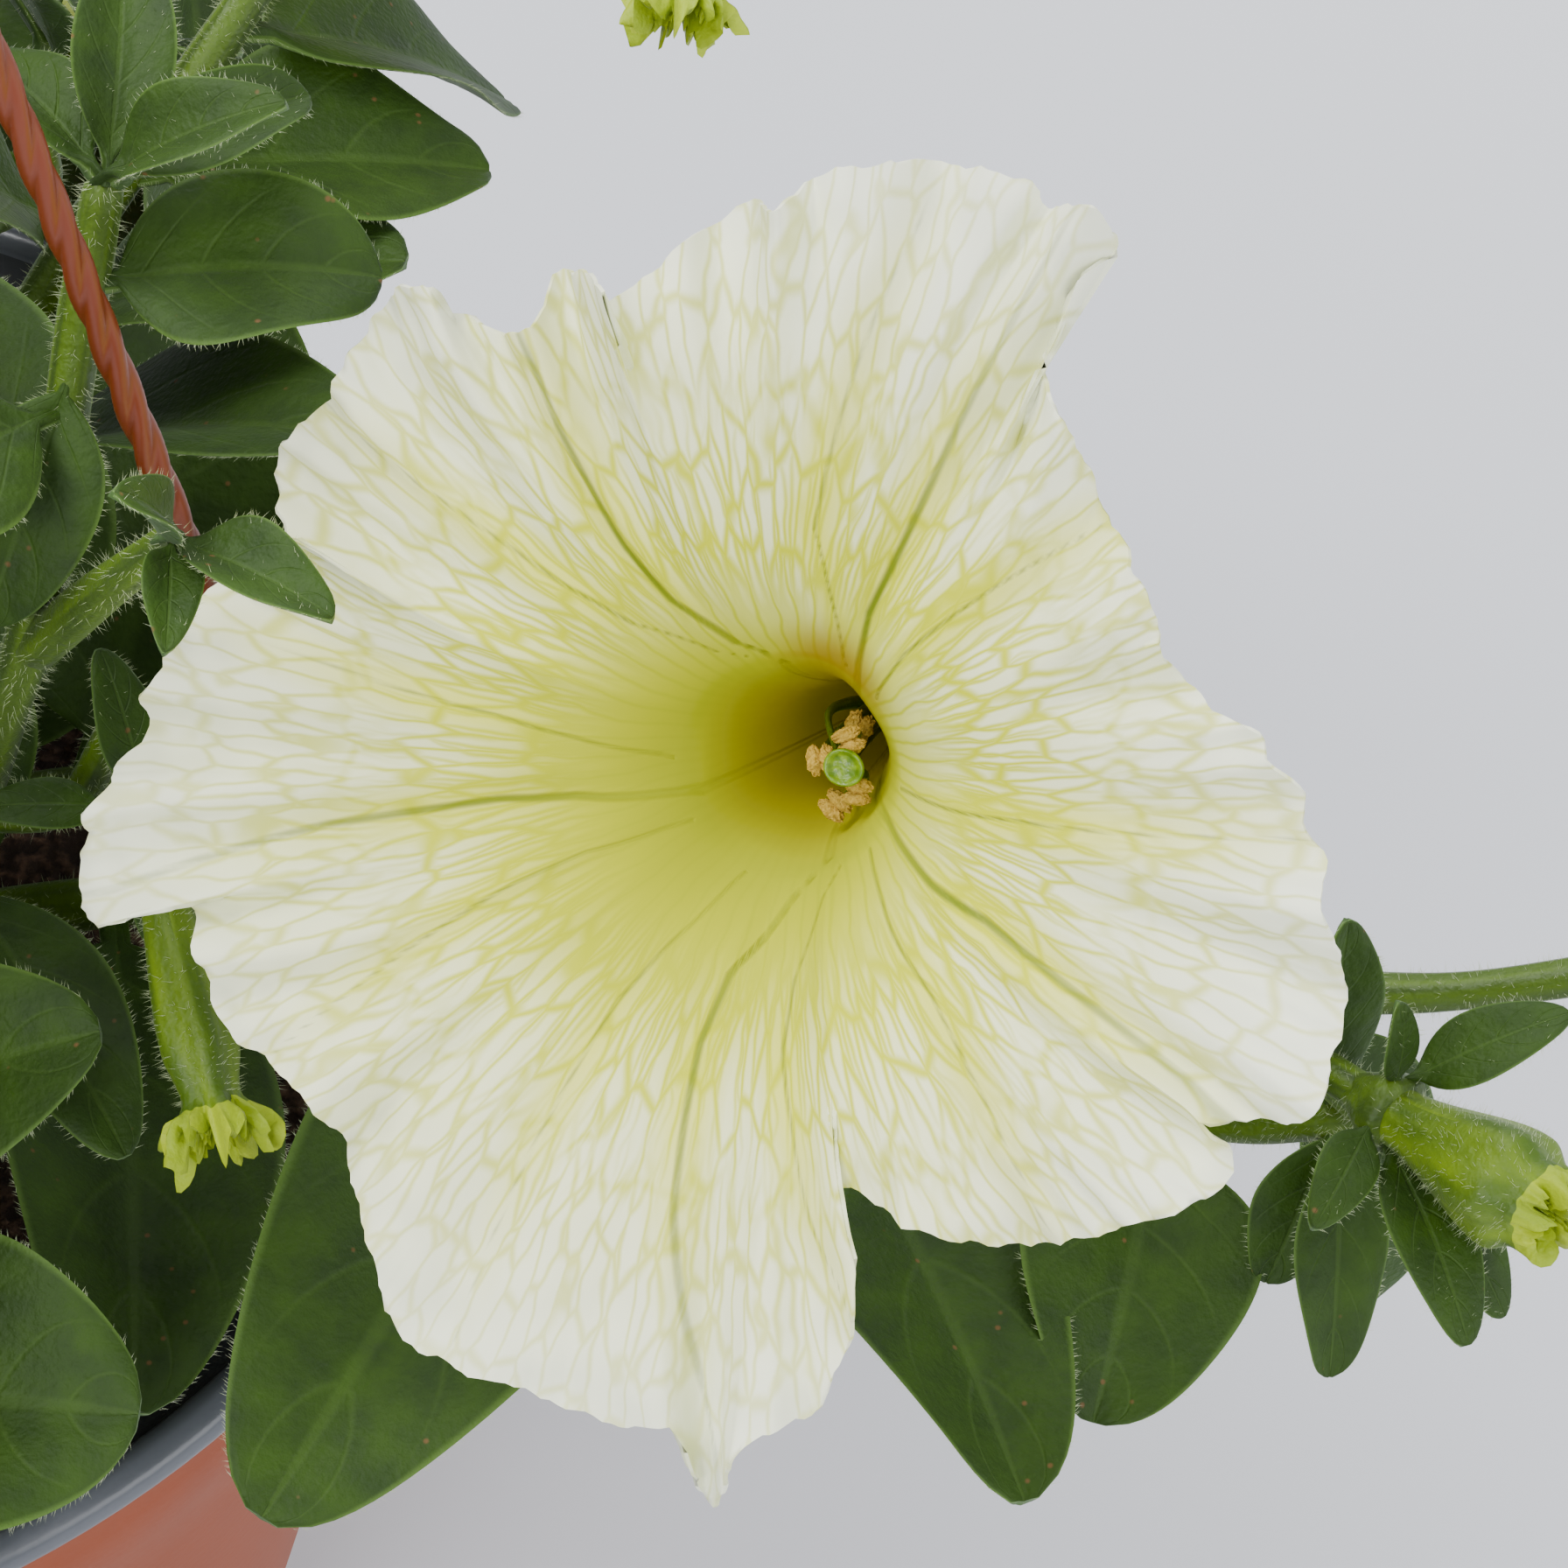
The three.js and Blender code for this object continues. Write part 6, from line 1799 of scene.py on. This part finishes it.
@dataclass
class Foliage:
    """One leafy shoot: its hairy stems, leaves, calyces and furled buds, in one mesh."""

    shell: Shell
    random: np.random.Generator
    hair_width: float = 0.018
    stem_hairs: float = 1.9
    margin_gap: float = 0.24
    cup_hairs: int = 90

    @classmethod
    def build_all(cls) -> None:
        """Builds every shoot where the plan grows it."""
        for shoot in PlantPlan().grow():
            shell = Shell(f"petunia_shoot_{shoot.number + 1:02d}")
            cls(shell, np.random.default_rng(500 + shoot.number)).build(shoot)

    def build(self, shoot: GrownShoot) -> None:
        """Builds one shoot.

        Args:
            shoot: the shoot with its stalks and leaves.
        """
        for curve, radii in shoot.lines():
            self.add_stem(curve, *radii)
        for stalk in shoot.stalks:
            self.add_cup(stalk)
            if stalk.bud:
                self.add_bud(stalk.bud)
        for leaf in shoot.leaves:
            self.add_leaf(leaf)
        DRESSER.dress(self.shell, f"leafy_shoot_{shoot.number + 1:02d}", "foliage", crease=75)

    def add_stem(self, curve: SmoothCurve, start: float, end: float) -> None:
        """Adds a stem with slight swellings and its hairs.

        Args:
            curve: its centre line.
            start: radius at the start.
            end: radius at the end.
        """
        length = curve.length()

        def radius(t: Array, angle: Array) -> Array:
            """Even taper from start to end, with a slow swelling and shallow ridges round the stem."""
            swell = 1 + 0.05 * np.sin(length * t / 3.1) + 0.04 * np.cos(5 * angle)
            return (start + (end - start) * t) * swell * (0.25 + 0.75 * rounded_ends(t, length, start))

        self.shell.skin(tube(curve, max(12, int(length / 1.2)), 14, radius), Face.STEM)
        count = int(length * pi * (start + end) * self.stem_hairs)
        t = self.random.uniform(0.02, 1, count)
        centres, ways = curve.at(t), curve.tangents(t)
        spread = square_to(self.random.normal(size=(count, 3)), ways)
        feet = centres + spread * (start + (end - start) * t)[:, None] * 0.97
        keep = feet[:, 2] > POT.soil_top
        self.add_hairs(feet[keep], spread[keep], 0.45, 0.95)

    def add_hairs(self, feet: Array, ways: Array, shortest: float, longest: float) -> None:
        """Adds hairs that stand out from a surface with a random tilt.

        Args:
            feet: where they stand.
            ways: outward directions there.
            shortest: shortest length.
            longest: longest length.
        """
        tilted = unit(ways + 0.28 * self.random.normal(size=ways.shape))
        self.shell.spikes(feet, tilted, self.random.uniform(shortest, longest, len(feet)), self.hair_width)

    def add_cup(self, stalk: Stalk) -> None:
        """Adds the calyx cup: a round bar whose radius grows from the stalk's to 2.7 mm along an eased ramp.

        Args:
            stalk: the stalk that ends in the cup.
        """
        deep = 5
        base = SmoothCurve([stalk.end - deep * stalk.axis, stalk.end])
        self.shell.skin(tube(base, 12, 20, lambda t, a: (1.2 + 1.5 * ease(t, 0.0, 0.8)) * (
            1 + 0.06 * np.cos(5 * a)) * (0.3 + 0.7 * rounded_ends(t, deep, 0.8))), Face.STEM)
        around = self.random.uniform(0, 2 * pi, self.cup_hairs)
        side, top = stalk.sides()
        out = np.cos(around)[:, None] * side + np.sin(around)[:, None] * top
        share = self.random.uniform(0, 1, self.cup_hairs)[:, None]
        self.add_hairs(stalk.end - deep * share * stalk.axis + out * (2.6 - 1.3 * share), out, 0.5, 1.0)

    def add_bud(self, bud: BudPlan) -> None:
        """Adds a furled bud.

        The tube's radius swells along it and has five ribs that twist. Over the last sixth it flares into a
        crown, whose edge is crumpled by sines of 5, 8, 13 and 23 waves, with folds sunk inside it.

        Args:
            bud: its place and sizes.
        """
        steps, sides, crown_from = 44, 132, 39
        line = SmoothCurve([bud.end - 0.6 * bud.axis, bud.end + bud.length * 0.55 * bud.axis,
                            bud.end + bud.length * bud.axis])
        phase = self.random.uniform(0, 6, 3)

        def radius(t: Array, angle: Array) -> Array:
            """The swelling tube, its ribs and the crumpled crown."""
            body = bud.girth * (0.5 + 0.5 * ease(t, 0.0, 0.62) - 0.24 * ease(t, 0.66, 0.84))
            ribs = 1 + 0.07 * ease(t, 0.1, 0.7) * np.cos(5 * angle + 1.5 * t)
            flare = ease(t, 0.84, 1.0)
            crumple = (0.26 * np.cos(5 * angle + phase[0]) + 0.2 * np.cos(8 * angle + phase[1])
                       + 0.17 * np.cos(13 * angle + phase[2] + 6 * t) + 0.12 * np.cos(23 * angle + 9 * t))
            return body * ribs * (1 - flare) + bud.girth * bud.crown * flare * (0.8 + 0.6 * crumple)

        turn = even_angles(sides)
        share = np.linspace(0, 1, steps + 1)
        lift = bud.length * 0.05 * (np.sin(5 * turn + phase[1]) + 0.8 * np.sin(11 * turn + phase[0])
                                    + 0.6 * np.sin(19 * turn + phase[2]))
        rings = tube(line, steps, sides, radius) + (ease(share, 0.86, 1.0)[:, None] * lift)[..., None] * bud.axis
        centre = bud.end + bud.length * 0.97 * bud.axis
        folds = [centre + (rings[-1] - centre) * size - bud.axis * sink
                 for size, sink in ((0.8, -0.3), (0.62, 0.9), (0.5, -0.1), (0.36, 1.1), (0.2, 0.3), (0.06, 1.4))]
        rings = np.concatenate([rings, np.array(folds)])
        crown = np.arange(len(rings) - 1) >= crown_from
        self.shell.skin(rings, Face.BUD, backs=((Face.CROWN, crown[:, None]),))
        count = int(bud.length * bud.girth * 16)
        row, column = self.random.integers(2, crown_from - 1, count), self.random.integers(0, sides, count)
        feet = rings[row, column]
        self.add_hairs(feet, unit(feet - rings.mean(axis=1)[row]), 0.35, 0.85)

    def add_leaf(self, leaf: Leaf) -> None:
        """Adds a leaf as a thin closed blade.

        A section runs over the upper face from margin to margin and back below. Half the thickness is the root
        of 1 - v^2, and the upper face swells between the side veins by the sine of their phase.

        Args:
            leaf: its form.
        """
        grown = leaf.growth is Growth.GROWN
        rows, columns, middle = (46, 15, 0.26) if grown else (24, 9, 0.36)
        over = np.sin(np.linspace(-pi / 2, pi / 2, columns))
        v = np.concatenate([over, over[-2:0:-1]])
        below = np.concatenate([np.ones(columns), -np.ones(columns - 2)])
        s = np.concatenate([[0.004], np.linspace(0.02, 0.975, rows), [0.996]])
        half = middle * np.sqrt(np.maximum(1 - v**2, 0.0)) + 0.04
        stalk = 1 + 1.6 * (1 - ease(s, 0.1, 0.2))
        lift = (half * below)[None, :] * stalk[:, None]
        if grown:
            veins = 5 * s[:, None] - 1.6 * np.abs(v) ** 1.4
            swell = np.sin(pi * (veins % 1)) * np.sin(pi * np.abs(v))
            lift = lift + 0.1 * swell * ease(s, 0.12, 0.25)[:, None]
        rings = leaf.points(s[:, None], v[None, :], lift)
        place = np.concatenate([(over + 1) / 2, (over[-2::-1] + 1) / 2])
        under = np.arange(2 * columns - 2) >= columns - 1
        self.shell.skin(rings, Face.LEAF, round_to=place, along=s, backs=((Face.LEAF_BACK, under[None, :]),))
        count = int(leaf.length / self.margin_gap)
        for side in (-1.0, 1.0):
            at = self.random.uniform(0.05, 0.99, count)
            feet = leaf.points(at, side)
            self.add_hairs(feet, unit(feet - leaf.points(at, 0.7 * side)), 0.25, 0.6)
        if not grown:
            count = int(leaf.length * leaf.width * 0.9)
            at, across = self.random.uniform(0.05, 0.97, count), self.random.uniform(-0.9, 0.9, count)
            face = np.where(self.random.uniform(size=count) < 0.5, -1.0, 1.0)
            feet = leaf.points(at, across, 0.3 * face)
            self.add_hairs(feet, unit(feet - leaf.points(at, across)), 0.25, 0.55)


# Main veins of the limb: bearings in degrees at each reach from the throat's middle, in millimetres
RIB_REACH = np.array([6.0, 8.0, 12.0, 16.0, 26.0, 40.0])
MAIN_RIBS = np.array([
    [96, 110, 117, 118, 115, 112], [50, 54, 58, 58, 59, 59], [334, 332, 331, 333, 332, 329],
    [290, 274, 260, 258, 261, 268], [199, 194, 188, 186, 187, 191],
])
SIDE_RIBS = np.array([
    [56, 62, 70, 76, 74, 71], [104, 120, 131, 134, 137, 139], [36, 40, 42, 41, 38, 34],
    [318, 315, 313, 314, 310, 305], [304, 290, 280, 277, 281, 290], [252, 246, 240, 238, 240, 243],
    [214, 209, 204, 204, 208, 213], [183, 176, 170, 167, 165, 163], [350, 352, 354, 356, 358, 0],
])

# Radius of the bore at depths below the throat, and the depths of the rings inside and outside, in millimetres
BORE = np.array([[3.4, 6.1], [5, 5.4], [7, 4.8], [10, 4.1], [14, 3.3], [28, 1.6]])
BORE_DEPTHS = np.array([TUBE_LENGTH - 3, 22, 17, 13, 10, 8, 6.4, 5.2, 4.2, 3.4])
WALL_DEPTHS = np.array([4.0, 4.8, 6.0, 7.8, 10, 14, 19, 24, 28, TUBE_LENGTH - 0.5, TUBE_LENGTH])
# Outline of the stigma's bowl: radius and height
STIGMA_BOWL = np.array([[0.5, 0.0], [0.85, 0.3], [1.12, 0.62], [1.22, 0.86], [1.19, 1.02], [1.08, 1.08],
                        [0.94, 1.0], [0.82, 0.86], [0.62, 0.76], [0.38, 0.78], [0.05, 0.8]])


@dataclass
class Bloom:
    """Open bloom: a funnel limb with a ruffled margin on a narrow tube, a pistil and five stamens."""

    plan: BloomPlan
    sides: int = 240
    limb_rings: int = 34
    thickness: float = 0.42
    throat_dip: float = 3.0

    def margin(self) -> tuple[Array, Array, Array]:
        """Gives the limb's margin.

        A closed Catmull-Rom curve runs through the outline's points as (x, y, height), and is read at even
        steps of its length.

        Returns:
            Bearing in radians, reach and height above the throat, at each of the bloom's sides.
        """
        bearing, reach, height = FRONT_OUTLINE.T
        turned = np.radians(bearing)
        around = np.stack([reach * np.cos(turned), reach * np.sin(turned), height], axis=1)
        count, wrap = len(around), 3
        padded = np.vstack([around[-wrap:], around, around[:wrap]])
        share = np.linspace(wrap, wrap + count, 4 * self.sides + 1) / (len(padded) - 1)
        fine = SmoothCurve(list(padded)).at(share)
        steps = np.concatenate([[0], np.cumsum(np.linalg.norm(np.diff(fine, axis=0), axis=1))])
        even = np.linspace(0, steps[-1], self.sides, endpoint=False)
        x, y, z = (np.interp(even, steps, fine[:, k]) for k in range(3))
        return np.unwrap(np.arctan2(y, x)), np.hypot(x, y), z

    def calm_bearing(self) -> Array:
        """Returns bearings that only grow: the margin's own, mixed with an even spread and smoothed.

        Returns:
            One bearing in radians for each point of the margin.
        """
        edge = self.margin()[0]
        calm = 0.75 * np.maximum.accumulate(edge) + 0.25 * (edge[0] + even_angles(self.sides))
        wide = self.sides // 24
        kernel = np.ones(2 * wide + 1) / (2 * wide + 1)
        for _ in range(2):
            padded = np.concatenate([calm[-wide:] - 2 * pi, calm, calm[:wide] + 2 * pi])
            calm = np.convolve(padded, kernel, "valid")
        return calm

    @staticmethod
    def distance_to(ribs: Array, bearing: Array, reach: Array) -> Array:
        """Returns how far places lie from the nearest of some ribs, in millimetres along the circle.

        Args:
            ribs: bearings in degrees at RIB_REACH, one row a rib.
            bearing: the places' bearings in radians.
            reach: the places' distances from the throat.

        Returns:
            The distances.
        """
        nearest = np.full(np.broadcast(bearing, reach).shape, 99.0)
        for rib in np.unwrap(ribs, period=360, axis=1):
            line = np.radians(np.interp(reach, RIB_REACH, rib))
            gap = np.abs(np.mod(bearing - line + pi, 2 * pi) - pi) * np.maximum(reach, 1.5)
            nearest = np.minimum(nearest, gap)
        return nearest

    def turned(self, bearing: Array) -> Array:
        """Returns a limb's bearings as the bloom's own, which is turned and may be mirrored."""
        return bearing * self.plan.hand + radians(self.plan.turn)

    def limb(self) -> tuple[Array, Array]:
        """Gives the upper face of the limb and its marks.

        With w from 0 at the throat to 1 at the margin, the reach grows evenly, the bearing turns from an even
        spread to the margin's own, and the height is a funnel 1 - (1 - w)^2.3 plus the margin's swell times
        w^2.6. The main veins lie in furrows, and the outer part has fine ripples.

        Returns:
            Points, shape (rings, sides, 3), and marks (cos, sin, reach, distance from a rib).
        """
        plan, throat = self.plan, THROAT_RADIUS
        edge_bearing, edge_reach, edge_height = self.margin()
        run = even_angles(self.sides)
        calm = self.calm_bearing()
        crinkle = ripple(21, 11 * np.cos(run), 11 * np.sin(run), octaves=3)
        w = np.linspace(0, 1, self.limb_rings)[1:, None] ** 0.92
        bearing = calm + (edge_bearing - calm) * w**3
        reach = throat + (edge_reach - throat) * w + 0.35 * w**9 * ripple(22, 14 * np.cos(run), 14 * np.sin(run))
        funnel = (FUNNEL_HEIGHT * (1 - np.maximum(1 - w, 0.0) ** FUNNEL_TURN)
                  - self.throat_dip * (1 - np.clip((reach - throat) / 8, 0, 1)) ** 2)
        rib, side_rib = (self.distance_to(ribs, bearing, reach) for ribs in (MAIN_RIBS, SIDE_RIBS))
        swell = (edge_height - FUNNEL_HEIGHT) * w**RUFFLE_POWER
        furrow = -0.55 * np.exp(-((rib / 1.6) ** 2)) * ease(reach, 8, 14) * (1 - w**4)
        x, y = reach * np.cos(bearing), reach * np.sin(bearing)
        wide = 0.5 * ease(w, 0.35, 1.0) * ripple(11, x / 16, y / 16)
        fine = 0.3 * w**5 * ripple(12, x / 5, y / 5, octaves=2)
        height = funnel + swell + furrow + (wide + fine) + 0.75 * w**6 * crinkle
        marks = np.stack([np.cos(bearing), np.sin(bearing), reach, np.minimum(rib, side_rib + 0.15)], -1)
        raised = np.where(plan.mirrored, funnel - 1.3 * (height - funnel), height)
        return plan.at(self.turned(bearing), reach * plan.size, raised * plan.size), marks

    def tube_rings(self, depth: Array, radius: Array) -> tuple[Array, Array]:
        """Gives rings of the tube below the throat, with five shallow ribs.

        Args:
            depth: depth of each ring below the throat.
            radius: its radius.

        Returns:
            Points and marks, in the same order round as the limb's.
        """
        bearing, depth = np.broadcast_arrays(self.calm_bearing()[None, :], depth[:, None])
        size = radius[:, None] * (1 + 0.03 * np.cos(5 * bearing))
        reach = THROAT_RADIUS - depth
        rib = self.distance_to(MAIN_RIBS, bearing, np.maximum(reach, 6.0)) * 0.8
        marks = np.stack([np.cos(bearing), np.sin(bearing), reach, rib], -1)
        return self.plan.at(self.turned(bearing), size, -depth), marks

    def corolla(self) -> Shell:
        """Returns the corolla: inner tube, upper face, margin, underside at the petal's thickness, outer tube.

        Returns:
            The shell of the corolla.
        """
        plan = self.plan
        throat = THROAT_RADIUS * plan.size
        upper, upper_marks = self.limb()
        wrapped = np.concatenate([upper[:, -1:], upper, upper[:, :1]], axis=1)
        onward = (wrapped[:, 2:] - wrapped[:, :-2]) * plan.hand
        normal = unit(np.cross(np.gradient(upper, axis=0), onward))
        normal *= np.sign(np.sum(normal * plan.axis, axis=-1, keepdims=True) + 1e-9)
        rise = np.linspace(0, 1, len(upper))[:, None, None]
        lower = upper - normal * self.thickness * (1 - 0.45 * rise)
        deep = BORE_DEPTHS * plan.size
        bore = np.interp(deep / plan.size, BORE[:, 0], BORE[:, 1] * plan.size)
        inside, inside_marks = self.tube_rings(deep, bore)
        wall = np.interp(WALL_DEPTHS, [0, 1.6, 4, 14, 31], [throat + 0.5, throat * 0.99, throat * 0.94,
                                                            throat * 0.62, TUBE_BASE_RADIUS])
        wall[-1] -= 0.7
        outside, outside_marks = self.tube_rings(WALL_DEPTHS, wall)
        rings = np.concatenate([inside, upper, lower[::-1], outside])
        marks = np.concatenate([inside_marks, upper_marks, upper_marks[::-1], outside_marks])
        behind = np.arange(len(rings) - 1) >= len(inside) + len(upper)
        shell = Shell(f"{plan.name}_corolla")
        shell.skin(rings, Face.PETAL, backs=((Face.PETAL_BACK, behind[:, None]),), marks=marks)
        return shell

    def inside(self, bearing: float, reach: float, depth: float) -> Array:
        """Returns a point inside the tube, from a bearing in degrees."""
        return self.plan.at(radians(bearing), reach * self.plan.size, -depth)

    def core(self) -> Shell:
        """Gives the pistil and the stamens, grown together at the tube's floor.

        The style is a round bar that swells into a bowl-shaped stigma. Each filament ends in an anther of two
        lobes: a ball whose radius is pinched across its middle and roughened by ripples.

        Returns:
            Their skins.
        """
        plan, at = self.plan, self.inside
        shell = Shell(f"{plan.name}_pistil_and_stamens")
        floor = plan.throat - (TUBE_LENGTH - 3.4) * plan.axis
        turn, lean, sink = STIGMA
        stigma = at(turn, lean, sink + 0.9)
        style = SmoothCurve([floor, at(0, 0, TUBE_LENGTH - 4), at(0, 0, 14), at(turn, 0.8 * lean, sink + 4),
                             stigma + 0.3 * plan.axis])
        shell.skin(tube(style, 40, 16, lambda t, a: 1.1 - 0.62 * ease(t, 0.0, 0.5) + 0 * a), Face.PISTIL)
        angle = even_angles(40)
        spread = STIGMA_BOWL[:, :1, None] * (1 + 0.05 * np.cos(2 * angle + 0.5))[None, :, None]
        way = np.cos(angle)[None, :, None] * plan.right + np.sin(angle)[None, :, None] * plan.left
        shell.skin(stigma + spread * way + STIGMA_BOWL[:, 1:2, None] * plan.axis, Face.PISTIL)
        for k, (bearing, reach, depth, start) in enumerate(ANTHERS):
            tip = at(bearing, reach, depth)
            thread = SmoothCurve([floor, at(start, 1.6, 14), at(bearing, reach * 0.85, depth + 4),
                                  tip - 0.3 * plan.axis])
            shell.skin(tube(thread, 30, 8, lambda t, a: 0.5 - 0.28 * ease(t, 0, 0.5) + 0 * a), Face.PISTIL)
            self.add_anther(shell, tip, k)
        return shell

    def add_anther(self, shell: Shell, tip: Array, number: int) -> None:
        """Adds one anther's two lobes at a filament's tip.

        Args:
            shell: the skins of the bloom's core.
            tip: end of the filament.
            number: which anther it is, for its turn and grain.
        """
        down = np.linspace(0.08, pi - 0.08, 24)[:, None]
        around = even_angles(32)[None, :]
        turn = 1.3 * number + 0.4
        long = self.plan.right * cos(turn) + self.plan.left * sin(turn)
        side = np.cross(self.plan.axis, long)
        for lobe in (-1, 1):
            grain = 1 + 0.2 * ripple(40 + number + 9 * lobe, down * 1.4 + 0 * around, np.cos(around) * 1.4,
                                     np.sin(around) * 1.4, octaves=3)
            flat = np.sin(down) * grain
            points = (0.86 * (np.cos(down) * grain)[..., None] * long
                      + (0.46 * flat * np.cos(around))[..., None] * side
                      + (0.52 * flat * np.sin(around))[..., None] * self.plan.axis)
            shell.skin(tip + lobe * 0.4 * side + points, Face.POLLEN)

    def build(self) -> None:
        """Builds the corolla and what stands in its throat."""
        DRESSER.dress(self.corolla(), self.plan.name, "petal", crease=80)
        DRESSER.dress(self.core(), f"{self.plan.name}_stamens", "stamens")


@dataclass(frozen=True)
class Lamp:
    """Square soft light: its place in millimetres, side in metres and power in watts."""

    name: str
    place: Array
    side: float
    power: float


# A key light from the upper left, one along the throat, a fill and a back light
LAMPS = (Lamp("key", vec(-600, 260, 1350), 0.8, 28.0), Lamp("front", vec(-330, -960, 1080), 0.5, 12.0),
         Lamp("fill", vec(1000, -500, 700), 1.0, 11.0), Lamp("back", vec(200, 1100, 1000), 0.9, 9.0))


@dataclass
class Studio:
    """Pale floor and backdrop, soft light, and a camera at the photograph's angle and distance."""

    eye: Array = field(default_factory=lambda: vec(83.6, -248.7, 462.9) * MM)
    elevation: float = 54.0
    focal_pixels: float = 7000.0
    frame_pixels: float = 1792.0
    sensor_mm: float = 36.0
    lit_point: Array = field(default_factory=lambda: vec(20, 0, 180) * MM)
    sky: float = 0.9

    def build(self) -> None:
        """Builds the floor, the lights and the camera."""
        self.build_floor()
        self.build_lights()
        self.build_camera()

    @staticmethod
    def place(name: str, data: bpy.types.ID) -> Object:
        """Returns a new object with this data, linked to the scene.

        Args:
            name: the object's name.
            data: its mesh, lamp or camera.

        Returns:
            The object.
        """
        thing = bpy.data.objects.new(name, data)
        bpy.context.scene.collection.objects.link(thing)
        return thing

    def build_floor(self) -> None:
        """Builds a floor that curves up behind: a profile of a flat, a quarter circle and a wall."""
        bend, turns, columns = 0.6, np.linspace(0, pi / 2, 24), 9
        run = np.concatenate([[-9.0, 0.0], 2.2 + bend * np.sin(turns), [2.2 + bend]])
        rise = np.concatenate([[0.0, 0.0], bend * (1 - np.cos(turns)), [3.5]])
        points = np.stack(np.broadcast_arrays(np.linspace(-9, 9, columns), run[:, None], rise[:, None]), axis=-1)
        i, j = np.meshgrid(np.arange(len(run) - 1), np.arange(columns - 1), indexing="ij")
        first = i * columns + j
        quads = np.stack([first, first + 1, first + columns + 1, first + columns], axis=-1).reshape(-1, 4)
        mesh = bpy.data.meshes.new("pale_backdrop")
        mesh.from_pydata(points.reshape(-1, 3).tolist(), [], quads.tolist())
        mesh.polygons.foreach_set("use_smooth", np.ones(len(quads), dtype=bool))
        mesh.materials.append(Finish("pale_grey_paper", "#c9cbd0", roughness=0.9).material())
        self.place("pale_backdrop", mesh)

    def build_lights(self) -> None:
        """Builds the lamps, which all face one point, and an even sky."""
        for lamp in LAMPS:
            data = bpy.data.lights.new(lamp.name, "AREA")
            data.size = lamp.side
            data.energy = lamp.power
            light = self.place(lamp.name, data)
            light.location = lamp.place * MM
            way = unit(self.lit_point - lamp.place * MM)
            light.rotation_euler = Vector(way).to_track_quat("-Z", "Y").to_euler()
        world = bpy.data.worlds.new("even_sky")
        world.use_nodes = True
        sky = world.node_tree.nodes["Background"]
        sky.inputs["Color"].default_value = linear("#e9edf5")
        sky.inputs["Strength"].default_value = self.sky
        bpy.context.scene.world = world

    def build_camera(self) -> None:
        """Builds the camera, level across and looking down along +Y."""
        camera = bpy.data.cameras.new("camera")
        camera.sensor_width = self.sensor_mm
        camera.lens = self.focal_pixels / self.frame_pixels * self.sensor_mm
        camera.clip_start = 0.01
        eye = self.place("camera", camera)
        eye.location = self.eye
        eye.rotation_euler = (radians(90 - self.elevation), 0, 0)
        bpy.context.scene.camera = eye


def main() -> None:
    """Builds the studio and every sub-assembly."""
    logging.basicConfig(level=logging.INFO, format="%(message)s")
    Studio().build()
    Pot().build()
    Hanger().build()
    for plan in BLOOMS:
        front = plan.name == "bloom_1"
        Bloom(plan, sides=600 if front else 240, limb_rings=60 if front else 34).build()
    Foliage.build_all()
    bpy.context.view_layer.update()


if __name__ == "__main__":
    main()
